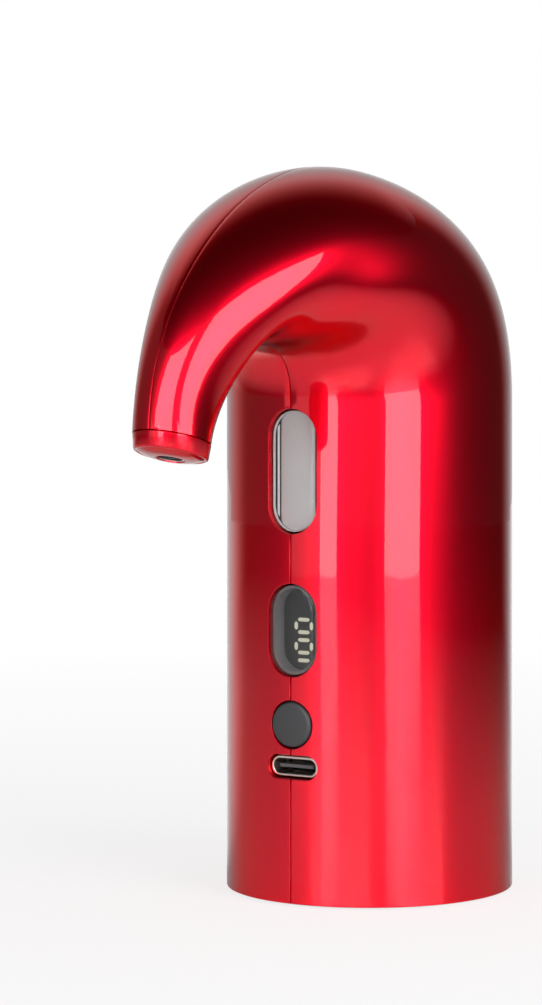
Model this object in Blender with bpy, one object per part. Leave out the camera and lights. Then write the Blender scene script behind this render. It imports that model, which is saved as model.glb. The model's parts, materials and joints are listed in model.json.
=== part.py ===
"""Electric wine aerator that stands on a bottle's neck and pours through an arched spout.

Units are metres. The body's axis is the Z axis, the base rests on z = 0, and the spout,
the windows, the button and the charging port face -Y. The casing is two hollow halves that
meet on the plane x = 0 with a tongue and a groove. Inside are the air pump, its motor, the
battery, the board and the clear chamber where air joins the wine.
"""

import math

import bmesh
import bpy
from mathutils import Matrix, Vector

# Clearances
gap = 0.0003
overrun = 0.0010

# Sides of round pieces
wide_sides = 28
seal_sides = 24
round_sides = 18
small_sides = 12
bore_sides = 8
screw_sides = 6

# Steps of small fillets and arcs
fillet_steps = 2
window_corner_steps = 4
board_corner_steps = 3
magnet_steps = 12
pole_steps = 8
air_hose_steps = 3
sharp_angle = math.radians(38)

# Casing
overall_height = 0.1200
body_radius = 0.0240
wall = 0.0020
shoulder_height = 0.0815
crown_forward = 0.0145
spout_reach = 0.0630
tip_height = 0.0756
tip_radius = 0.0059
tip_tilt = math.radians(16)
underside_forward = 0.0383
underside_height_share = 0.2468
lip_angle = math.radians(25)
back_rise_share = 0.874
back_crown_share = 0.202
front_crown_share = 0.492
front_drop_share = 0.466
underside_rise_share = 0.950
underside_back_share = 0.600
underside_front_share = 0.826
underside_drop_share = 0.322
arch_width_shares = (1.0, 1.0, 1.016, 0.214)
tongue_width = 0.0008
ring_steps = 18
arch_steps = 14

# Collar and nozzle at the spout's tip
collar_height = 0.0022
collar_groove = 0.00035
collar_rim = 0.0006
collar_dish = 0.0008
collar_edge = 0.0002
spigot_wall = 0.0013
spigot_length = 0.0058
nozzle_wall = 0.0004
nozzle_length = 0.0077
nozzle_barb_length = 0.0044

# Openings in the front of the casing
window_width = 0.0093
flow_window_length = 0.0203
flow_window_rise = 0.0258
display_window_length = 0.0151
display_window_rise = 0.0153
button_radius = 0.0037
button_rise = 0.0069
port_width = 0.00894
port_height = 0.00326
port_rise = 0.0027
opening_depth = 0.0045

# Window lenses
lens_recess = 0.0001
lens_flange = 0.0012
lens_flange_thickness = 0.0008
lens_columns = 9

# Bottle socket in the base
socket_height = 0.0192
socket_plate = 0.0024
socket_bore_radius = 0.0172
socket_wall = 0.0018
socket_flange = 0.0024
socket_lip = 0.0013
socket_lip_height = 0.0016
socket_rib_count = 8
socket_rib_width = 0.0014
socket_rib_depth = 0.0020

# Bottle seal
seal_wall = 0.0017
seal_flange = 0.0016
seal_fin = 0.0011
seal_fin_height = 0.0012
seal_fin_count = 3

# Wine inlet fitting
inlet_flange_radius = 0.0056
inlet_neck_radius = 0.0037
inlet_socket_radius = 0.0027
inlet_socket_depth = 0.0040
inlet_neck_rise = 0.0010
nipple_radius = 0.0015
nipple_bore_radius = 0.0009
nipple_length = 0.0048

# Hoses
hose_radius = 0.0024
hose_bore_radius = 0.0018
hose_sides = 9
hose_span_steps = 2
riser_route_shares = ((0.295, 0.176), (0.659, 0.412), (0.771, 0.627), (0.820, 0.801))
spout_route_shares = (0.40, 0.52, 0.64, 0.76)

# Inner frame
foot_thickness = 0.0018
foot_steps = 24
foot_boss_radius = 0.0024
foot_boss_height = 0.0060
web_front = 0.0063
web_thickness = 0.0015
web_height = 0.0545
web_inset = 0.0030
door_half_width = 0.0036
door_top_share = 0.625
rail_side = 0.0120
rail_thickness = 0.0016
board_boss_radius = 0.0019
pump_cradle_rise = 0.0049
pump_cradle_height = 0.0070
battery_cradle_height = 0.0040
battery_cradle_bottom_shares = (0.140, 0.800)
cradle_reach = 0.0055
battery_cradle_reach = 0.0080
chamber_ring_height = 0.0030
chamber_ring_wall = 0.0015
chamber_ring_share = 0.30
chamber_arm_half_width = 0.0020

# Screws
base_screw_count = 3
base_screw_circle = 0.0116
base_screw_radius = 0.0011
base_screw_length = 0.0066
base_screw_head_radius = 0.0020
frame_screw_inset = 0.0054
frame_screw_radius = 0.0009
frame_screw_length = 0.0066
frame_screw_head_radius = 0.0016
frame_screw_spacing = 0.0036
frame_boss_radius = 0.0023
frame_boss_length = 0.0070
board_screw_side = 0.0114
board_screw_radius = 0.0006
board_screw_length = 0.0046
board_screw_head_radius = 0.0013
board_screw_inset = 0.0027
screw_head_height_share = 0.5

# Locating pins at the back seam
pin_radius = 0.0011
pin_length = 0.0026
pin_boss_radius = 0.0021
pin_boss_reach = 0.0088
pin_inset = 0.0043
pin_height_shares = (0.25, 0.50)

# Locating ribs on the left half
rib_thickness = 0.0010
rib_depth = 0.0034
rib_rise = 0.0045
rib_height = 0.0260

# Air pump
pump_side = 0.0080
pump_back = 0.0065
pump_rise = 0.0120
pump_radius = 0.0090
pump_cover_thickness = 0.0031
pump_cover_wall = 0.0012
pump_chamber_radius = 0.0064
valve_plate_thickness = 0.0015
valve_hole_radius = 0.0007
valve_circle = 0.0045
diaphragm_thickness = 0.0012
diaphragm_cup_radius = 0.0022
diaphragm_cup_height = 0.0024
cup_count = 3
head_height = 0.0094
head_wall = 0.0012
head_window_width = 0.0080
head_window_height = 0.0042
yoke_plate = 0.0010
yoke_rise = 0.0027
yoke_radius = 0.0066
yoke_cup_radius = 0.0034
yoke_cup_bore = 0.0024
hub_height = 0.0022
hub_radius = 0.0031
crank_radius = 0.0007
crank_offset = 0.0011
crank_length = 0.0018

# Motor
motor_length = 0.0220
motor_wall = 0.0007
motor_end = 0.0010
motor_bush_radius = 0.0030
motor_bush_height = 0.0010
shaft_radius = 0.0010
magnet_thickness = 0.0017
magnet_length = 0.0130
magnet_half_angle = math.radians(58)
core_length = 0.0110
core_pole_count = 3
core_pole_half_angle = math.radians(50)
core_pole_tip = 0.0011
core_neck_half_angle = math.radians(15)
core_hub_radius = 0.0024
commutator_radius = 0.0022
commutator_length = 0.0030
bell_thickness = 0.0024
terminal_width = 0.0020
terminal_thickness = 0.0006
terminal_height = 0.0030
terminal_offset = 0.0050

# Rubber sleeve round the motor
sleeve_wall = 0.0014
sleeve_height = 0.0090

# Battery
battery_side = 0.0116
battery_back = 0.0070
battery_radius = 0.0070
battery_length = 0.0500
battery_edge = 0.0006
battery_groove = 0.0004
battery_cap_thickness = 0.0015

# Board and what it carries
board_depth = 0.0086
board_thickness = 0.0010
board_width = 0.0256
board_height = 0.0321
module_width = 0.0092
module_height = 0.0150
module_drop = 0.0004
module_depth = 0.0036
guide_thickness = 0.0004
guide_height = 0.0148
guide_width = 0.0074
segment_rise = 0.00015
segment_width = 0.00045
segment_break = 0.00012
digit_length = 0.0030
digit_width = 0.0022
digit_pitch = 0.00335
digit_drop = 0.0025
digit_count = 3
switch_width = 0.0060
switch_depth = 0.0032
switch_stem_radius = 0.0014
switch_stem_length = 0.0014
switch_stem_proud = 0.0007
port_metal = 0.0003
port_length = 0.0071
port_corner_steps = 3
tongue_plate = 0.0007
tongue_reach = 0.0045
port_block_depth = 0.0020
chip_width = 0.0040
chip_thickness = 0.0010
chip_height_share = 0.80
coil_radius = 0.0022
coil_depth = 0.0020
coil_height_share = 0.52
plug_width = 0.0060
plug_height = 0.0042
plug_depth = 0.0040
plug_side = 0.0070
plug_bottom_share = 0.26

# Button
button_proud = 0.0001
button_edge = 0.0005
button_flange = 0.0009
button_flange_thickness = 0.0007
button_nub_radius = 0.0015

# Aeration chamber
chamber_depth = 0.0118
chamber_radius = 0.0046
chamber_rise = 0.0003
chamber_height = 0.0200
chamber_wall = 0.0010
throat_radius = 0.0005
air_hole_radius = 0.0005
throat_share = 0.12
mixing_bottom_share = 0.20
mixing_top_share = 0.84

# Leads
lead_radius = 0.0006
lead_pitch = 0.0020
lead_span_steps = 2
lead_cross_share = 0.425
lead_hang_share = 0.300
lead_bend_height_shares = (0.743, 0.486)

# Places worked out from the sizes above
inner_radius = body_radius - wall
foot_bottom = socket_height + gap
foot_top = foot_bottom + foot_thickness
port_centre = foot_bottom + port_rise
button_centre = port_centre + button_rise
display_window_centre = button_centre + display_window_rise
flow_window_centre = display_window_centre + flow_window_rise
module_centre = display_window_centre - module_drop
digit_middle = module_centre - digit_drop
chamber_bottom = flow_window_centre + chamber_rise - chamber_height / 2
web_top = foot_bottom + web_height
web_half_width = inner_radius - web_inset
rib_bottom = foot_bottom + rib_rise
rib_top = rib_bottom + rib_height
frame_screw_side = inner_radius - frame_screw_inset
pump_bottom = socket_height + pump_rise
board_front = -(body_radius - board_depth)
board_back = board_front + board_thickness
board_bottom = foot_bottom + gap
board_top = board_bottom + board_height
pump_axis = Vector((-pump_side, pump_back, 0))
battery_axis = Vector((battery_side, battery_back, 0))
web_back = -(web_front - web_thickness)
chamber_axis = -(body_radius - chamber_depth)
pump_cover_top = pump_bottom + pump_cover_thickness
valve_plate_bottom = pump_cover_top + gap
diaphragm_bottom = valve_plate_bottom + valve_plate_thickness + gap
head_bottom = diaphragm_bottom + diaphragm_thickness + gap
head_top = head_bottom + head_height
motor_bottom = head_top + gap
motor_top = motor_bottom + motor_length
pump_cradle_bottom = motor_bottom + pump_cradle_rise
bell_bottom = motor_top + gap
bell_top = bell_bottom + bell_thickness
battery_bottom = foot_top + gap
battery_top = battery_bottom + battery_length
battery_cap_bottom = battery_top + gap
battery_cap_top = battery_cap_bottom + battery_cap_thickness
low_cradle, high_cradle = [battery_bottom + share * battery_length
                           for share in battery_cradle_bottom_shares]
frame_screw_heights = (
    low_cradle - frame_screw_spacing,
    (low_cradle + high_cradle + battery_cradle_height) / 2,
    high_cradle + battery_cradle_height + frame_screw_spacing,
)
hose_end = nipple_length + hose_radius / 2
riser_start = socket_height + inlet_neck_rise + gap + hose_end
riser_end = chamber_bottom - hose_end
door_top = riser_start + door_top_share * (riser_end - riser_start)
board_screw_heights = (board_bottom + board_screw_inset, board_top - board_screw_inset)
tip_centre = Vector((
    0,
    -(spout_reach - tip_radius * math.cos(tip_tilt)),
    tip_height - tip_radius * math.sin(tip_tilt),
))
tip_frame = Matrix.Translation(tip_centre) @ Matrix.Rotation(-tip_tilt, 4, "X")


def finish(name, colour, roughness, metallic=0.0, alpha=1.0):
    """Make a Principled material from an sRGB hex colour."""
    made = bpy.data.materials.new(name)
    made.use_nodes = True
    shader = made.node_tree.nodes["Principled BSDF"]
    channels = [int(colour[index:index + 2], 16) / 255 for index in (1, 3, 5)]
    linear = [value / 12.92 if value <= 0.04045 else ((value + 0.055) / 1.055) ** 2.4
              for value in channels]
    shader.inputs["Base Color"].default_value = (*linear, 1)
    shader.inputs["Roughness"].default_value = roughness
    shader.inputs["Metallic"].default_value = metallic
    shader.inputs["Alpha"].default_value = alpha
    made.diffuse_color = (*linear, alpha)
    return made


def piece(name, form, material, origin=(0, 0, 0)):
    """Turn a bmesh into a named object whose origin lies at the given place."""
    bmesh.ops.recalc_face_normals(form, faces=form.faces)
    bmesh.ops.translate(form, verts=form.verts, vec=-Vector(origin))
    shape = bpy.data.meshes.new(name)
    form.to_mesh(shape)
    form.free()
    shape.shade_smooth()
    shape.set_sharp_from_angle(angle=sharp_angle)
    if material:
        shape.materials.append(material)
    made = bpy.data.objects.new(name, shape)
    made.location = origin
    bpy.context.collection.objects.link(made)
    return made


def shape_with(target, name, form, operation):
    """Join a form to an object or cut it from the object, with a hidden tool."""
    tool = piece(name, form, None)
    tool.hide_render = True
    tool.display_type = "WIRE"
    modifier = target.modifiers.new(name, "BOOLEAN")
    modifier.operation = operation
    modifier.solver = "EXACT"
    modifier.object = tool


def add_stack(form, rings, closed=False):
    """Skin rings of equal point counts, with a cap at each end unless they close on themselves."""
    loops = [[form.verts.new(point) for point in ring] for ring in rings]
    count = len(loops[0])
    following = loops[1:] + loops[:1] if closed else loops[1:]
    for low, high in zip(loops, following):
        for index in range(count):
            after = (index + 1) % count
            form.faces.new((low[index], low[after], high[after], high[index]))
    if not closed:
        form.faces.new(loops[0])
        form.faces.new(loops[-1])


def add_turned(form, profile, sides, frame=Matrix()):
    """Turn a closed profile of (radius, height) points about the frame's Z axis."""
    loops = []
    for radius, height in profile:
        angles = [2 * math.pi * step / sides for step in range(sides if radius > 0 else 1)]
        loops.append([form.verts.new(frame @ Vector((radius * math.cos(angle),
                                                     radius * math.sin(angle), height)))
                      for angle in angles])
    for low, high in zip(loops, loops[1:] + loops[:1]):
        if len(low) == 1 and len(high) == 1:
            continue
        for index in range(sides):
            after = (index + 1) % sides
            corners = [low[index % len(low)], low[after % len(low)],
                       high[after % len(high)], high[index % len(high)]]
            form.faces.new(list(dict.fromkeys(corners)))


def add_rod(form, radius, bottom, top, sides, frame=Matrix()):
    """Add a plain round rod along the frame's Z axis."""
    add_turned(form, [(0, bottom), (radius, bottom), (radius, top), (0, top)], sides, frame)


def add_prism(form, outline, bottom, top, frame=Matrix()):
    """Extrude an outline along the frame's Z axis."""
    rings = [[frame @ Vector((u, v, height)) for u, v in outline] for height in (bottom, top)]
    add_stack(form, rings)


def add_block(form, low, high):
    """Add a rectangular block between two corners."""
    outline = [(low[0], low[1]), (high[0], low[1]), (high[0], high[1]), (low[0], high[1])]
    add_prism(form, outline, low[2], high[2])


def facing_front(x, y, z):
    """Frame whose Z axis points to the front, with its Y axis up."""
    return Matrix.Translation((x, y, z)) @ Matrix.Rotation(math.radians(90), 4, "X")


def facing_back(x, y, z):
    """Frame whose Z axis points to the back."""
    return Matrix.Translation((x, y, z)) @ Matrix.Rotation(math.radians(-90), 4, "X")


def facing_right(x, y, z):
    """Frame whose Z axis points along +X."""
    return Matrix.Translation((x, y, z)) @ Matrix.Rotation(math.radians(90), 4, "Y")


def stadium(width, height, steps):
    """Outline with two straight sides and two half-round ends."""
    radius = min(width, height) / 2
    across = width / 2 - radius
    up = height / 2 - radius
    start = 0 if height > width else -math.pi / 2
    points = []
    for side in (1, -1):
        for step in range(2 * steps + 1):
            angle = start + math.pi * step / (2 * steps) + (0 if side > 0 else math.pi)
            points.append((side * across + radius * math.cos(angle),
                           side * up + radius * math.sin(angle)))
    return points


def rounded(points, radius, steps, corners):
    """Replace the listed corners of an outline with arcs."""
    result = []
    for index, point in enumerate(points):
        if index not in corners:
            result.append(point)
            continue
        here = Vector(point)
        before = (Vector(points[index - 1]) - here).normalized()
        after = (Vector(points[(index + 1) % len(points)]) - here).normalized()
        half = before.angle(after) / 2
        centre = here + (before + after).normalized() * radius / math.sin(half)
        start = here + before * radius / math.tan(half) - centre
        end = here + after * radius / math.tan(half) - centre
        turn = math.atan2(start.x * end.y - start.y * end.x, start.dot(end))
        first = math.atan2(start.y, start.x)
        for step in range(steps + 1):
            angle = first + turn * step / steps
            result.append((centre.x + radius * math.cos(angle),
                           centre.y + radius * math.sin(angle)))
    return result


def smooth_route(points, steps):
    """Points on a smooth curve through the given ones."""
    ends = [points[0] * 2 - points[1]] + points + [points[-1] * 2 - points[-2]]
    route = []
    for index in range(1, len(ends) - 2):
        a, b, c, d = ends[index - 1:index + 3]
        for step in range(steps):
            t = step / steps
            route.append(0.5 * (2 * b + (c - a) * t + (2 * a - 5 * b + 4 * c - d) * t * t
                                + (3 * b - a - 3 * c + d) * t ** 3))
    route.append(points[-1])
    return route


def add_hose(form, route):
    """Sweep a tube with a bore along a route, with square ends."""
    tangents = [(route[min(index + 1, len(route) - 1)] - route[max(index - 1, 0)]).normalized()
                for index in range(len(route))]
    across = Vector((1, 0, 0))
    skins = {hose_radius: [], hose_bore_radius: []}
    for point, tangent in zip(route, tangents):
        across = (across - tangent * across.dot(tangent)).normalized()
        beside = tangent.cross(across)
        for radius, rings in skins.items():
            rings.append([point + radius * (math.cos(angle) * across + math.sin(angle) * beside)
                          for angle in [2 * math.pi * step / hose_sides
                                        for step in range(hose_sides)]])
    add_stack(form, skins[hose_radius] + skins[hose_bore_radius][::-1], closed=True)


def bezier(points, t):
    """Point on a cubic curve."""
    a, b, c, d = [Vector(point) for point in points]
    s = 1 - t
    return a * s ** 3 + b * (3 * s * s * t) + c * (3 * s * t * t) + d * t ** 3


def arch_curves():
    """Outer and inner outlines of the arch in (forward, height), each as two cubic curves.

    They start level at the shoulder and end in the plane where the collar begins.
    """
    along = Vector((math.cos(tip_tilt), math.sin(tip_tilt)))
    out = Vector((math.sin(tip_tilt), -math.cos(tip_tilt)))
    down = Vector((0, -1))
    inward = Vector((math.sin(lip_angle), -math.cos(lip_angle)))
    tip_outer = Vector((spout_reach, tip_height))
    tip_inner = tip_outer - along * (2 * tip_radius)
    back = collar_height + collar_groove
    outer_end = tip_outer - down * (back / down.dot(out))
    inner_end = tip_inner - inward * (back / inward.dot(out))
    crown = Vector((crown_forward, overall_height))
    rise = overall_height - shoulder_height
    under = Vector((underside_forward, shoulder_height + underside_height_share * rise))
    drop = overall_height - tip_height
    outer_back = (
        (-body_radius, shoulder_height),
        (-body_radius, shoulder_height + back_rise_share * rise),
        (crown.x - back_crown_share * (crown.x + body_radius), crown.y),
        crown,
    )
    outer_front = (
        crown,
        (crown.x + front_crown_share * (spout_reach - crown.x), crown.y),
        outer_end - down * (front_drop_share * drop),
        outer_end,
    )
    inner_back = (
        (body_radius, shoulder_height),
        (body_radius, shoulder_height + underside_rise_share * (under.y - shoulder_height)),
        (under.x - underside_back_share * (under.x - body_radius), under.y),
        under,
    )
    inner_front = (
        under,
        (under.x + underside_front_share * (inner_end.x - under.x), under.y),
        inner_end - inward * (underside_drop_share * (under.y - tip_inner.y)),
        inner_end,
    )
    return (outer_back, outer_front), (inner_back, inner_front)


def arch_section(share):
    """Centre, direction, half depth and half width of the arch's section at a share of its way."""
    outer, inner = arch_curves()
    part = 0 if share < 0.5 else 1
    t = 2 * share - part
    far = bezier(outer[part], t)
    near = bezier(inner[part], t)
    end_radius = (bezier(outer[1], 1) - bezier(inner[1], 1)).length / 2
    widths = [body_radius * value for value in arch_width_shares] + [end_radius]
    width = sum(value * math.comb(4, index) * share ** index * (1 - share) ** (4 - index)
                for index, value in enumerate(widths))
    return (far + near) / 2, (near - far).normalized(), (near - far).length / 2, width


def casing_sections():
    """Sections from the base's rim up the body and over the arch."""
    front = Vector((1, 0))
    body = [(Vector((0, height)), front, body_radius, body_radius)
            for height in (0, shoulder_height / 2)]
    return body + [arch_section(step / arch_steps) for step in range(arch_steps + 1)]


def half_ring(section, side, seam, step_depth, inner_seam):
    """One C-shaped section of a casing half, with its tongue or groove.

    seam is the outer skin's distance from the middle plane, and inner_seam the inner skin's.
    """
    centre, forward, depth, width = section

    def skin(inset, edge, from_front):
        first = math.asin(edge / (width - inset))
        angles = [first + (math.pi - 2 * first) * step / ring_steps
                  for step in range(ring_steps + 1)]
        if not from_front:
            angles.reverse()
        return [spot(inset, angle) for angle in angles]

    def spot(inset, angle):
        flat = centre + forward * ((depth - inset) * math.cos(angle))
        return Vector((side * (width - inset) * math.sin(angle), -flat.x, flat.y))

    def corner(edge, at_front):
        angle = math.asin(edge / (width - step_depth))
        return spot(step_depth, angle if at_front else math.pi - angle)

    ring = skin(0, seam, True)
    ring += [corner(seam, False), corner(inner_seam, False)]
    ring += skin(wall, inner_seam, False)
    ring += [corner(inner_seam, True), corner(seam, True)]
    return ring


def add_front_openings(form):
    """Windows, button hole and port, as one tool that reaches through the casing's front."""
    top = opening_depth + overrun
    frame = facing_front(0, -(body_radius - opening_depth), 0)
    for width, length, centre in (
        (window_width, flow_window_length, flow_window_centre),
        (window_width, display_window_length, display_window_centre),
        (port_width + 2 * gap, port_height + 2 * gap, port_centre),
    ):
        outline = [(u, v + centre) for u, v in stadium(width, length, window_corner_steps)]
        add_prism(form, outline, 0, top, frame)
    hole = facing_front(0, -(body_radius - opening_depth), button_centre)
    add_rod(form, button_radius + gap, 0, top, round_sides, hole)


def make_casing(red):
    """Two moulded halves: the right one has the groove, bosses and sockets, the left the tongue."""
    half_gap = gap / 2
    for name, side in (("right_shell", 1), ("left_shell", -1)):
        groove = side > 0
        step_depth = (wall - gap) / 2 if groove else (wall + gap) / 2
        inner_seam = tongue_width + gap if groove else -tongue_width
        form = bmesh.new()
        add_stack(form, [half_ring(section, side, half_gap, step_depth, inner_seam)
                         for section in casing_sections()])
        shell = piece(name, form, red)

        inside = bmesh.new()
        holes = bmesh.new()
        pin_back = body_radius - pin_inset
        for share in pin_height_shares:
            height = share * overall_height
            across = facing_right(0, pin_back, height)
            if groove:
                add_rod(inside, pin_boss_radius, half_gap, pin_boss_reach, small_sides, across)
                add_rod(holes, pin_radius + gap, -overrun, pin_length + gap, bore_sides, across)
            else:
                profile = [(0, -pin_boss_reach), (pin_boss_radius, -pin_boss_reach),
                           (pin_boss_radius, -half_gap), (pin_radius, -half_gap),
                           (pin_radius, pin_length - gap), (pin_radius - gap, pin_length),
                           (0, pin_length)]
                add_turned(inside, profile, small_sides, across)
        if groove:
            for height in frame_screw_heights:
                boss = facing_front(frame_screw_side, -(web_front + gap), height)
                add_rod(inside, frame_boss_radius, 0, frame_boss_length, small_sides, boss)
                add_rod(holes, frame_screw_radius + gap, -overrun,
                        frame_screw_length - web_thickness, bore_sides, boss)
        else:
            outer_edge = body_radius - wall / 2
            rib_front = -(web_front + gap + rib_thickness)
            reach = math.sqrt(outer_edge ** 2 - rib_front ** 2)
            add_block(inside, (-reach, rib_front, rib_bottom),
                      (-(web_half_width - rib_depth / 2), -(web_front + gap), rib_top))
            add_block(inside, (-outer_edge, web_back + gap, rib_bottom),
                      (-(web_half_width - rib_depth / 2), web_back + gap + rib_thickness, rib_top))
        shape_with(shell, name + "_mouldings", inside, "UNION")
        add_front_openings(holes)
        shape_with(shell, name + "_openings", holes, "DIFFERENCE")


def make_tip(red, steel):
    """Collar with a dished end face and a spigot, and the outlet tube that it holds."""
    lean = tip_radius + collar_height * math.tan(tip_tilt)
    near = tip_radius + collar_height * math.tan(lip_angle - tip_tilt)
    top_radius = (lean + near) / 2
    shift = (lean - near) / 2
    section_radius = arch_section(1)[3]
    spigot_radius = section_radius - wall - gap
    spigot_bore = spigot_radius - spigot_wall
    rim_inner = tip_radius - collar_rim
    spigot_top = collar_height + spigot_length
    profile = [
        (spigot_bore, collar_dish),
        (rim_inner - collar_edge, collar_dish),
        (rim_inner, 0),
        (tip_radius - collar_edge, 0),
        (tip_radius, collar_edge),
        (top_radius, collar_height),
        (spigot_radius, collar_height),
        (spigot_radius, spigot_top),
        (spigot_bore, spigot_top),
    ]
    form = bmesh.new()
    add_turned(form, profile, wide_sides)
    for vertex in form.verts:
        vertex.co.y -= shift * min(vertex.co.z / collar_height, 1)
    bmesh.ops.transform(form, matrix=tip_frame, verts=form.verts)
    piece("spout_collar", form, red)

    tube_radius = spigot_bore - gap - shift
    tube_bore = tube_radius - nozzle_wall
    shoulder = collar_dish + nozzle_length
    barb_top = shoulder + nozzle_barb_length
    profile = [
        (tube_bore, collar_dish),
        (tube_radius, collar_dish),
        (tube_radius, shoulder),
        (nipple_radius, shoulder),
        (nipple_radius, barb_top - gap),
        (nipple_radius - gap, barb_top),
        (nipple_bore_radius, barb_top),
        (nipple_bore_radius, shoulder - wall),
        (tube_bore, shoulder - 2 * wall),
    ]
    form = bmesh.new()
    add_turned(form, profile, small_sides, tip_frame)
    piece("outlet_nozzle", form, steel)
    return shoulder


def add_curved_stadium(form, width, height, outer, inner, centre):
    """Slab with a stadium outline, bent to the casing's curve between two radii."""
    radius = width / 2
    rings = []
    for column in range(lens_columns + 1):
        x = -radius * math.cos(math.pi * column / lens_columns)
        reach = height / 2 - radius + math.sqrt(max(radius ** 2 - x ** 2, 0))
        rings.append([Vector((x, -math.sqrt(skin ** 2 - x ** 2), centre + end * reach))
                      for skin, end in ((outer, 1), (outer, -1), (inner, -1), (inner, 1))])
    add_stack(form, rings)


def make_lens(name, length, centre, material):
    """Lens that fills its opening, with a flange behind the casing's wall."""
    flange_outer = inner_radius - gap
    flange_inner = flange_outer - lens_flange_thickness
    form = bmesh.new()
    add_curved_stadium(form, window_width + 2 * lens_flange, length + 2 * lens_flange,
                       flange_outer, flange_inner, centre)
    lens = piece(name, form, material)
    form = bmesh.new()
    add_curved_stadium(form, window_width - 2 * gap, length - 2 * gap,
                       body_radius - lens_recess, flange_inner + lens_flange_thickness / 2, centre)
    shape_with(lens, name + "_face", form, "UNION")


def make_button(grey):
    """Button with a flange behind the wall and a nub that meets the switch's stem."""
    face = body_radius + button_proud
    flange_face = math.sqrt(inner_radius ** 2 - (button_radius + button_flange) ** 2) - gap
    flange_back = flange_face - button_flange_thickness
    profile = [
        (0, stem_face() + gap),
        (button_nub_radius, stem_face() + gap),
        (button_nub_radius, flange_back),
        (button_radius + button_flange, flange_back),
        (button_radius + button_flange, flange_face),
        (button_radius, flange_face),
        (button_radius, face),
        (0, face),
    ]
    form = bmesh.new()
    add_turned(form, rounded(profile, button_edge, fillet_steps, (6,)), seal_sides,
               facing_front(0, 0, button_centre))
    piece("power_button", form, grey, (0, -face, button_centre))


def stem_face():
    """Distance of the switch stem's face from the body's axis."""
    return -board_front + gap + switch_depth + switch_stem_proud


def make_switch(dark, steel):
    """Tactile switch on the board, with a stem that slides in its housing."""
    face = -board_front + gap + switch_depth
    frame = facing_front(0, 0, button_centre)
    half = switch_width / 2
    outline = [(-half, -half), (half, -half), (half, half), (-half, half)]
    form = bmesh.new()
    add_prism(form, rounded(outline, switch_stem_radius / 2, fillet_steps, range(4)),
              -board_front + gap, face, frame)
    switch = piece("tact_switch", form, dark)
    form = bmesh.new()
    stem_back = stem_face() - switch_stem_length
    add_rod(form, switch_stem_radius + gap, stem_back - switch_stem_proud - gap, face + overrun,
            small_sides, frame)
    shape_with(switch, "switch_hole", form, "DIFFERENCE")
    form = bmesh.new()
    add_rod(form, switch_stem_radius, stem_back, stem_face(), small_sides, frame)
    piece("switch_stem", form, steel, (0, -stem_face(), button_centre))


def make_port(steel, dark):
    """Upright charging socket: a drawn metal shell, and an insulator with its tongue."""
    mouth = -board_front + gap + port_length
    foot = -board_front + gap
    frame = facing_front(0, 0, port_centre)
    outer = stadium(port_width, port_height, port_corner_steps)
    inner = stadium(port_width - 2 * port_metal, port_height - 2 * port_metal, port_corner_steps)
    rings = [[frame @ Vector((u, v, height)) for u, v in outline]
             for outline, height in ((outer, foot), (outer, mouth), (inner, mouth), (inner, foot))]
    form = bmesh.new()
    add_stack(form, rings, closed=True)
    piece("port_shell", form, steel)

    fit = 2 * (port_metal + gap)
    block_top = foot + port_block_depth
    outline = stadium(port_width - fit, port_height - fit, port_corner_steps)
    form = bmesh.new()
    add_prism(form, outline, foot, block_top, frame)
    insert = piece("port_insert", form, dark)
    form = bmesh.new()
    half = (port_width - port_height) / 2 + port_metal
    outline = [(-half, -tongue_plate / 2), (half, -tongue_plate / 2),
               (half, tongue_plate / 2), (-half, tongue_plate / 2)]
    add_prism(form, outline, block_top - port_metal, block_top + tongue_reach, frame)
    shape_with(insert, "port_tongue", form, "UNION")


def make_board(green, dark, cream):
    """Board with its screw holes, and the parts soldered to its back."""
    half = board_width / 2
    outline = [(-half, board_bottom), (half, board_bottom), (half, board_top), (-half, board_top)]
    form = bmesh.new()
    add_prism(form, rounded(outline, board_screw_head_radius, board_corner_steps, range(4)),
              -board_back, -board_front, facing_front(0, 0, 0))
    board = piece("main_board", form, green)
    form = bmesh.new()
    for side in (-1, 1):
        for height in board_screw_heights:
            add_rod(form, board_screw_radius + gap, -overrun, board_thickness + overrun, bore_sides,
                    facing_back(side * board_screw_side, board_front, height))
    shape_with(board, "board_holes", form, "DIFFERENCE")

    behind = board_back + gap
    chip_bottom = board_bottom + chip_height_share * board_height
    form = bmesh.new()
    add_block(form, (-chip_width / 2, behind, chip_bottom),
              (chip_width / 2, behind + chip_thickness, chip_bottom + chip_width))
    piece("controller_chip", form, dark)
    form = bmesh.new()
    profile = [(0, 0), (coil_radius, 0), (coil_radius, coil_depth), (0, coil_depth)]
    coil_height = board_bottom + coil_height_share * board_height
    add_turned(form, rounded(profile, gap, 1, (1, 2)), bore_sides,
               facing_back(0, behind, coil_height))
    piece("boost_coil", form, dark)
    plug_bottom = board_bottom + plug_bottom_share * board_height
    for name, side in (("battery_plug", 1), ("motor_plug", -1)):
        form = bmesh.new()
        middle = side * plug_side
        add_block(form, (middle - plug_width / 2, behind, plug_bottom),
                  (middle + plug_width / 2, behind + plug_depth, plug_bottom + plug_height))
        piece(name, form, cream)
    return plug_bottom + plug_height


def add_segments(form, centre, face, rise):
    """Seven raised bars of one digit that reads upwards: its height lies across the window."""
    length = digit_length
    width = digit_width
    half = segment_width / 2
    upright = length / 2 - segment_break
    for across in (-length / 2, 0, length / 2):
        add_block(form, (across - half, face - rise, centre - width / 2 + half + segment_break),
                  (across + half, face + rise, centre + width / 2 - half - segment_break))
    for side in (-1, 1):
        for row in (-1, 1):
            middle = row * length / 4
            level = centre + side * width / 2
            add_block(form, (middle - upright / 2 + half, face - rise, level - half),
                      (middle + upright / 2 - half, face + rise, level + half))


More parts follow.
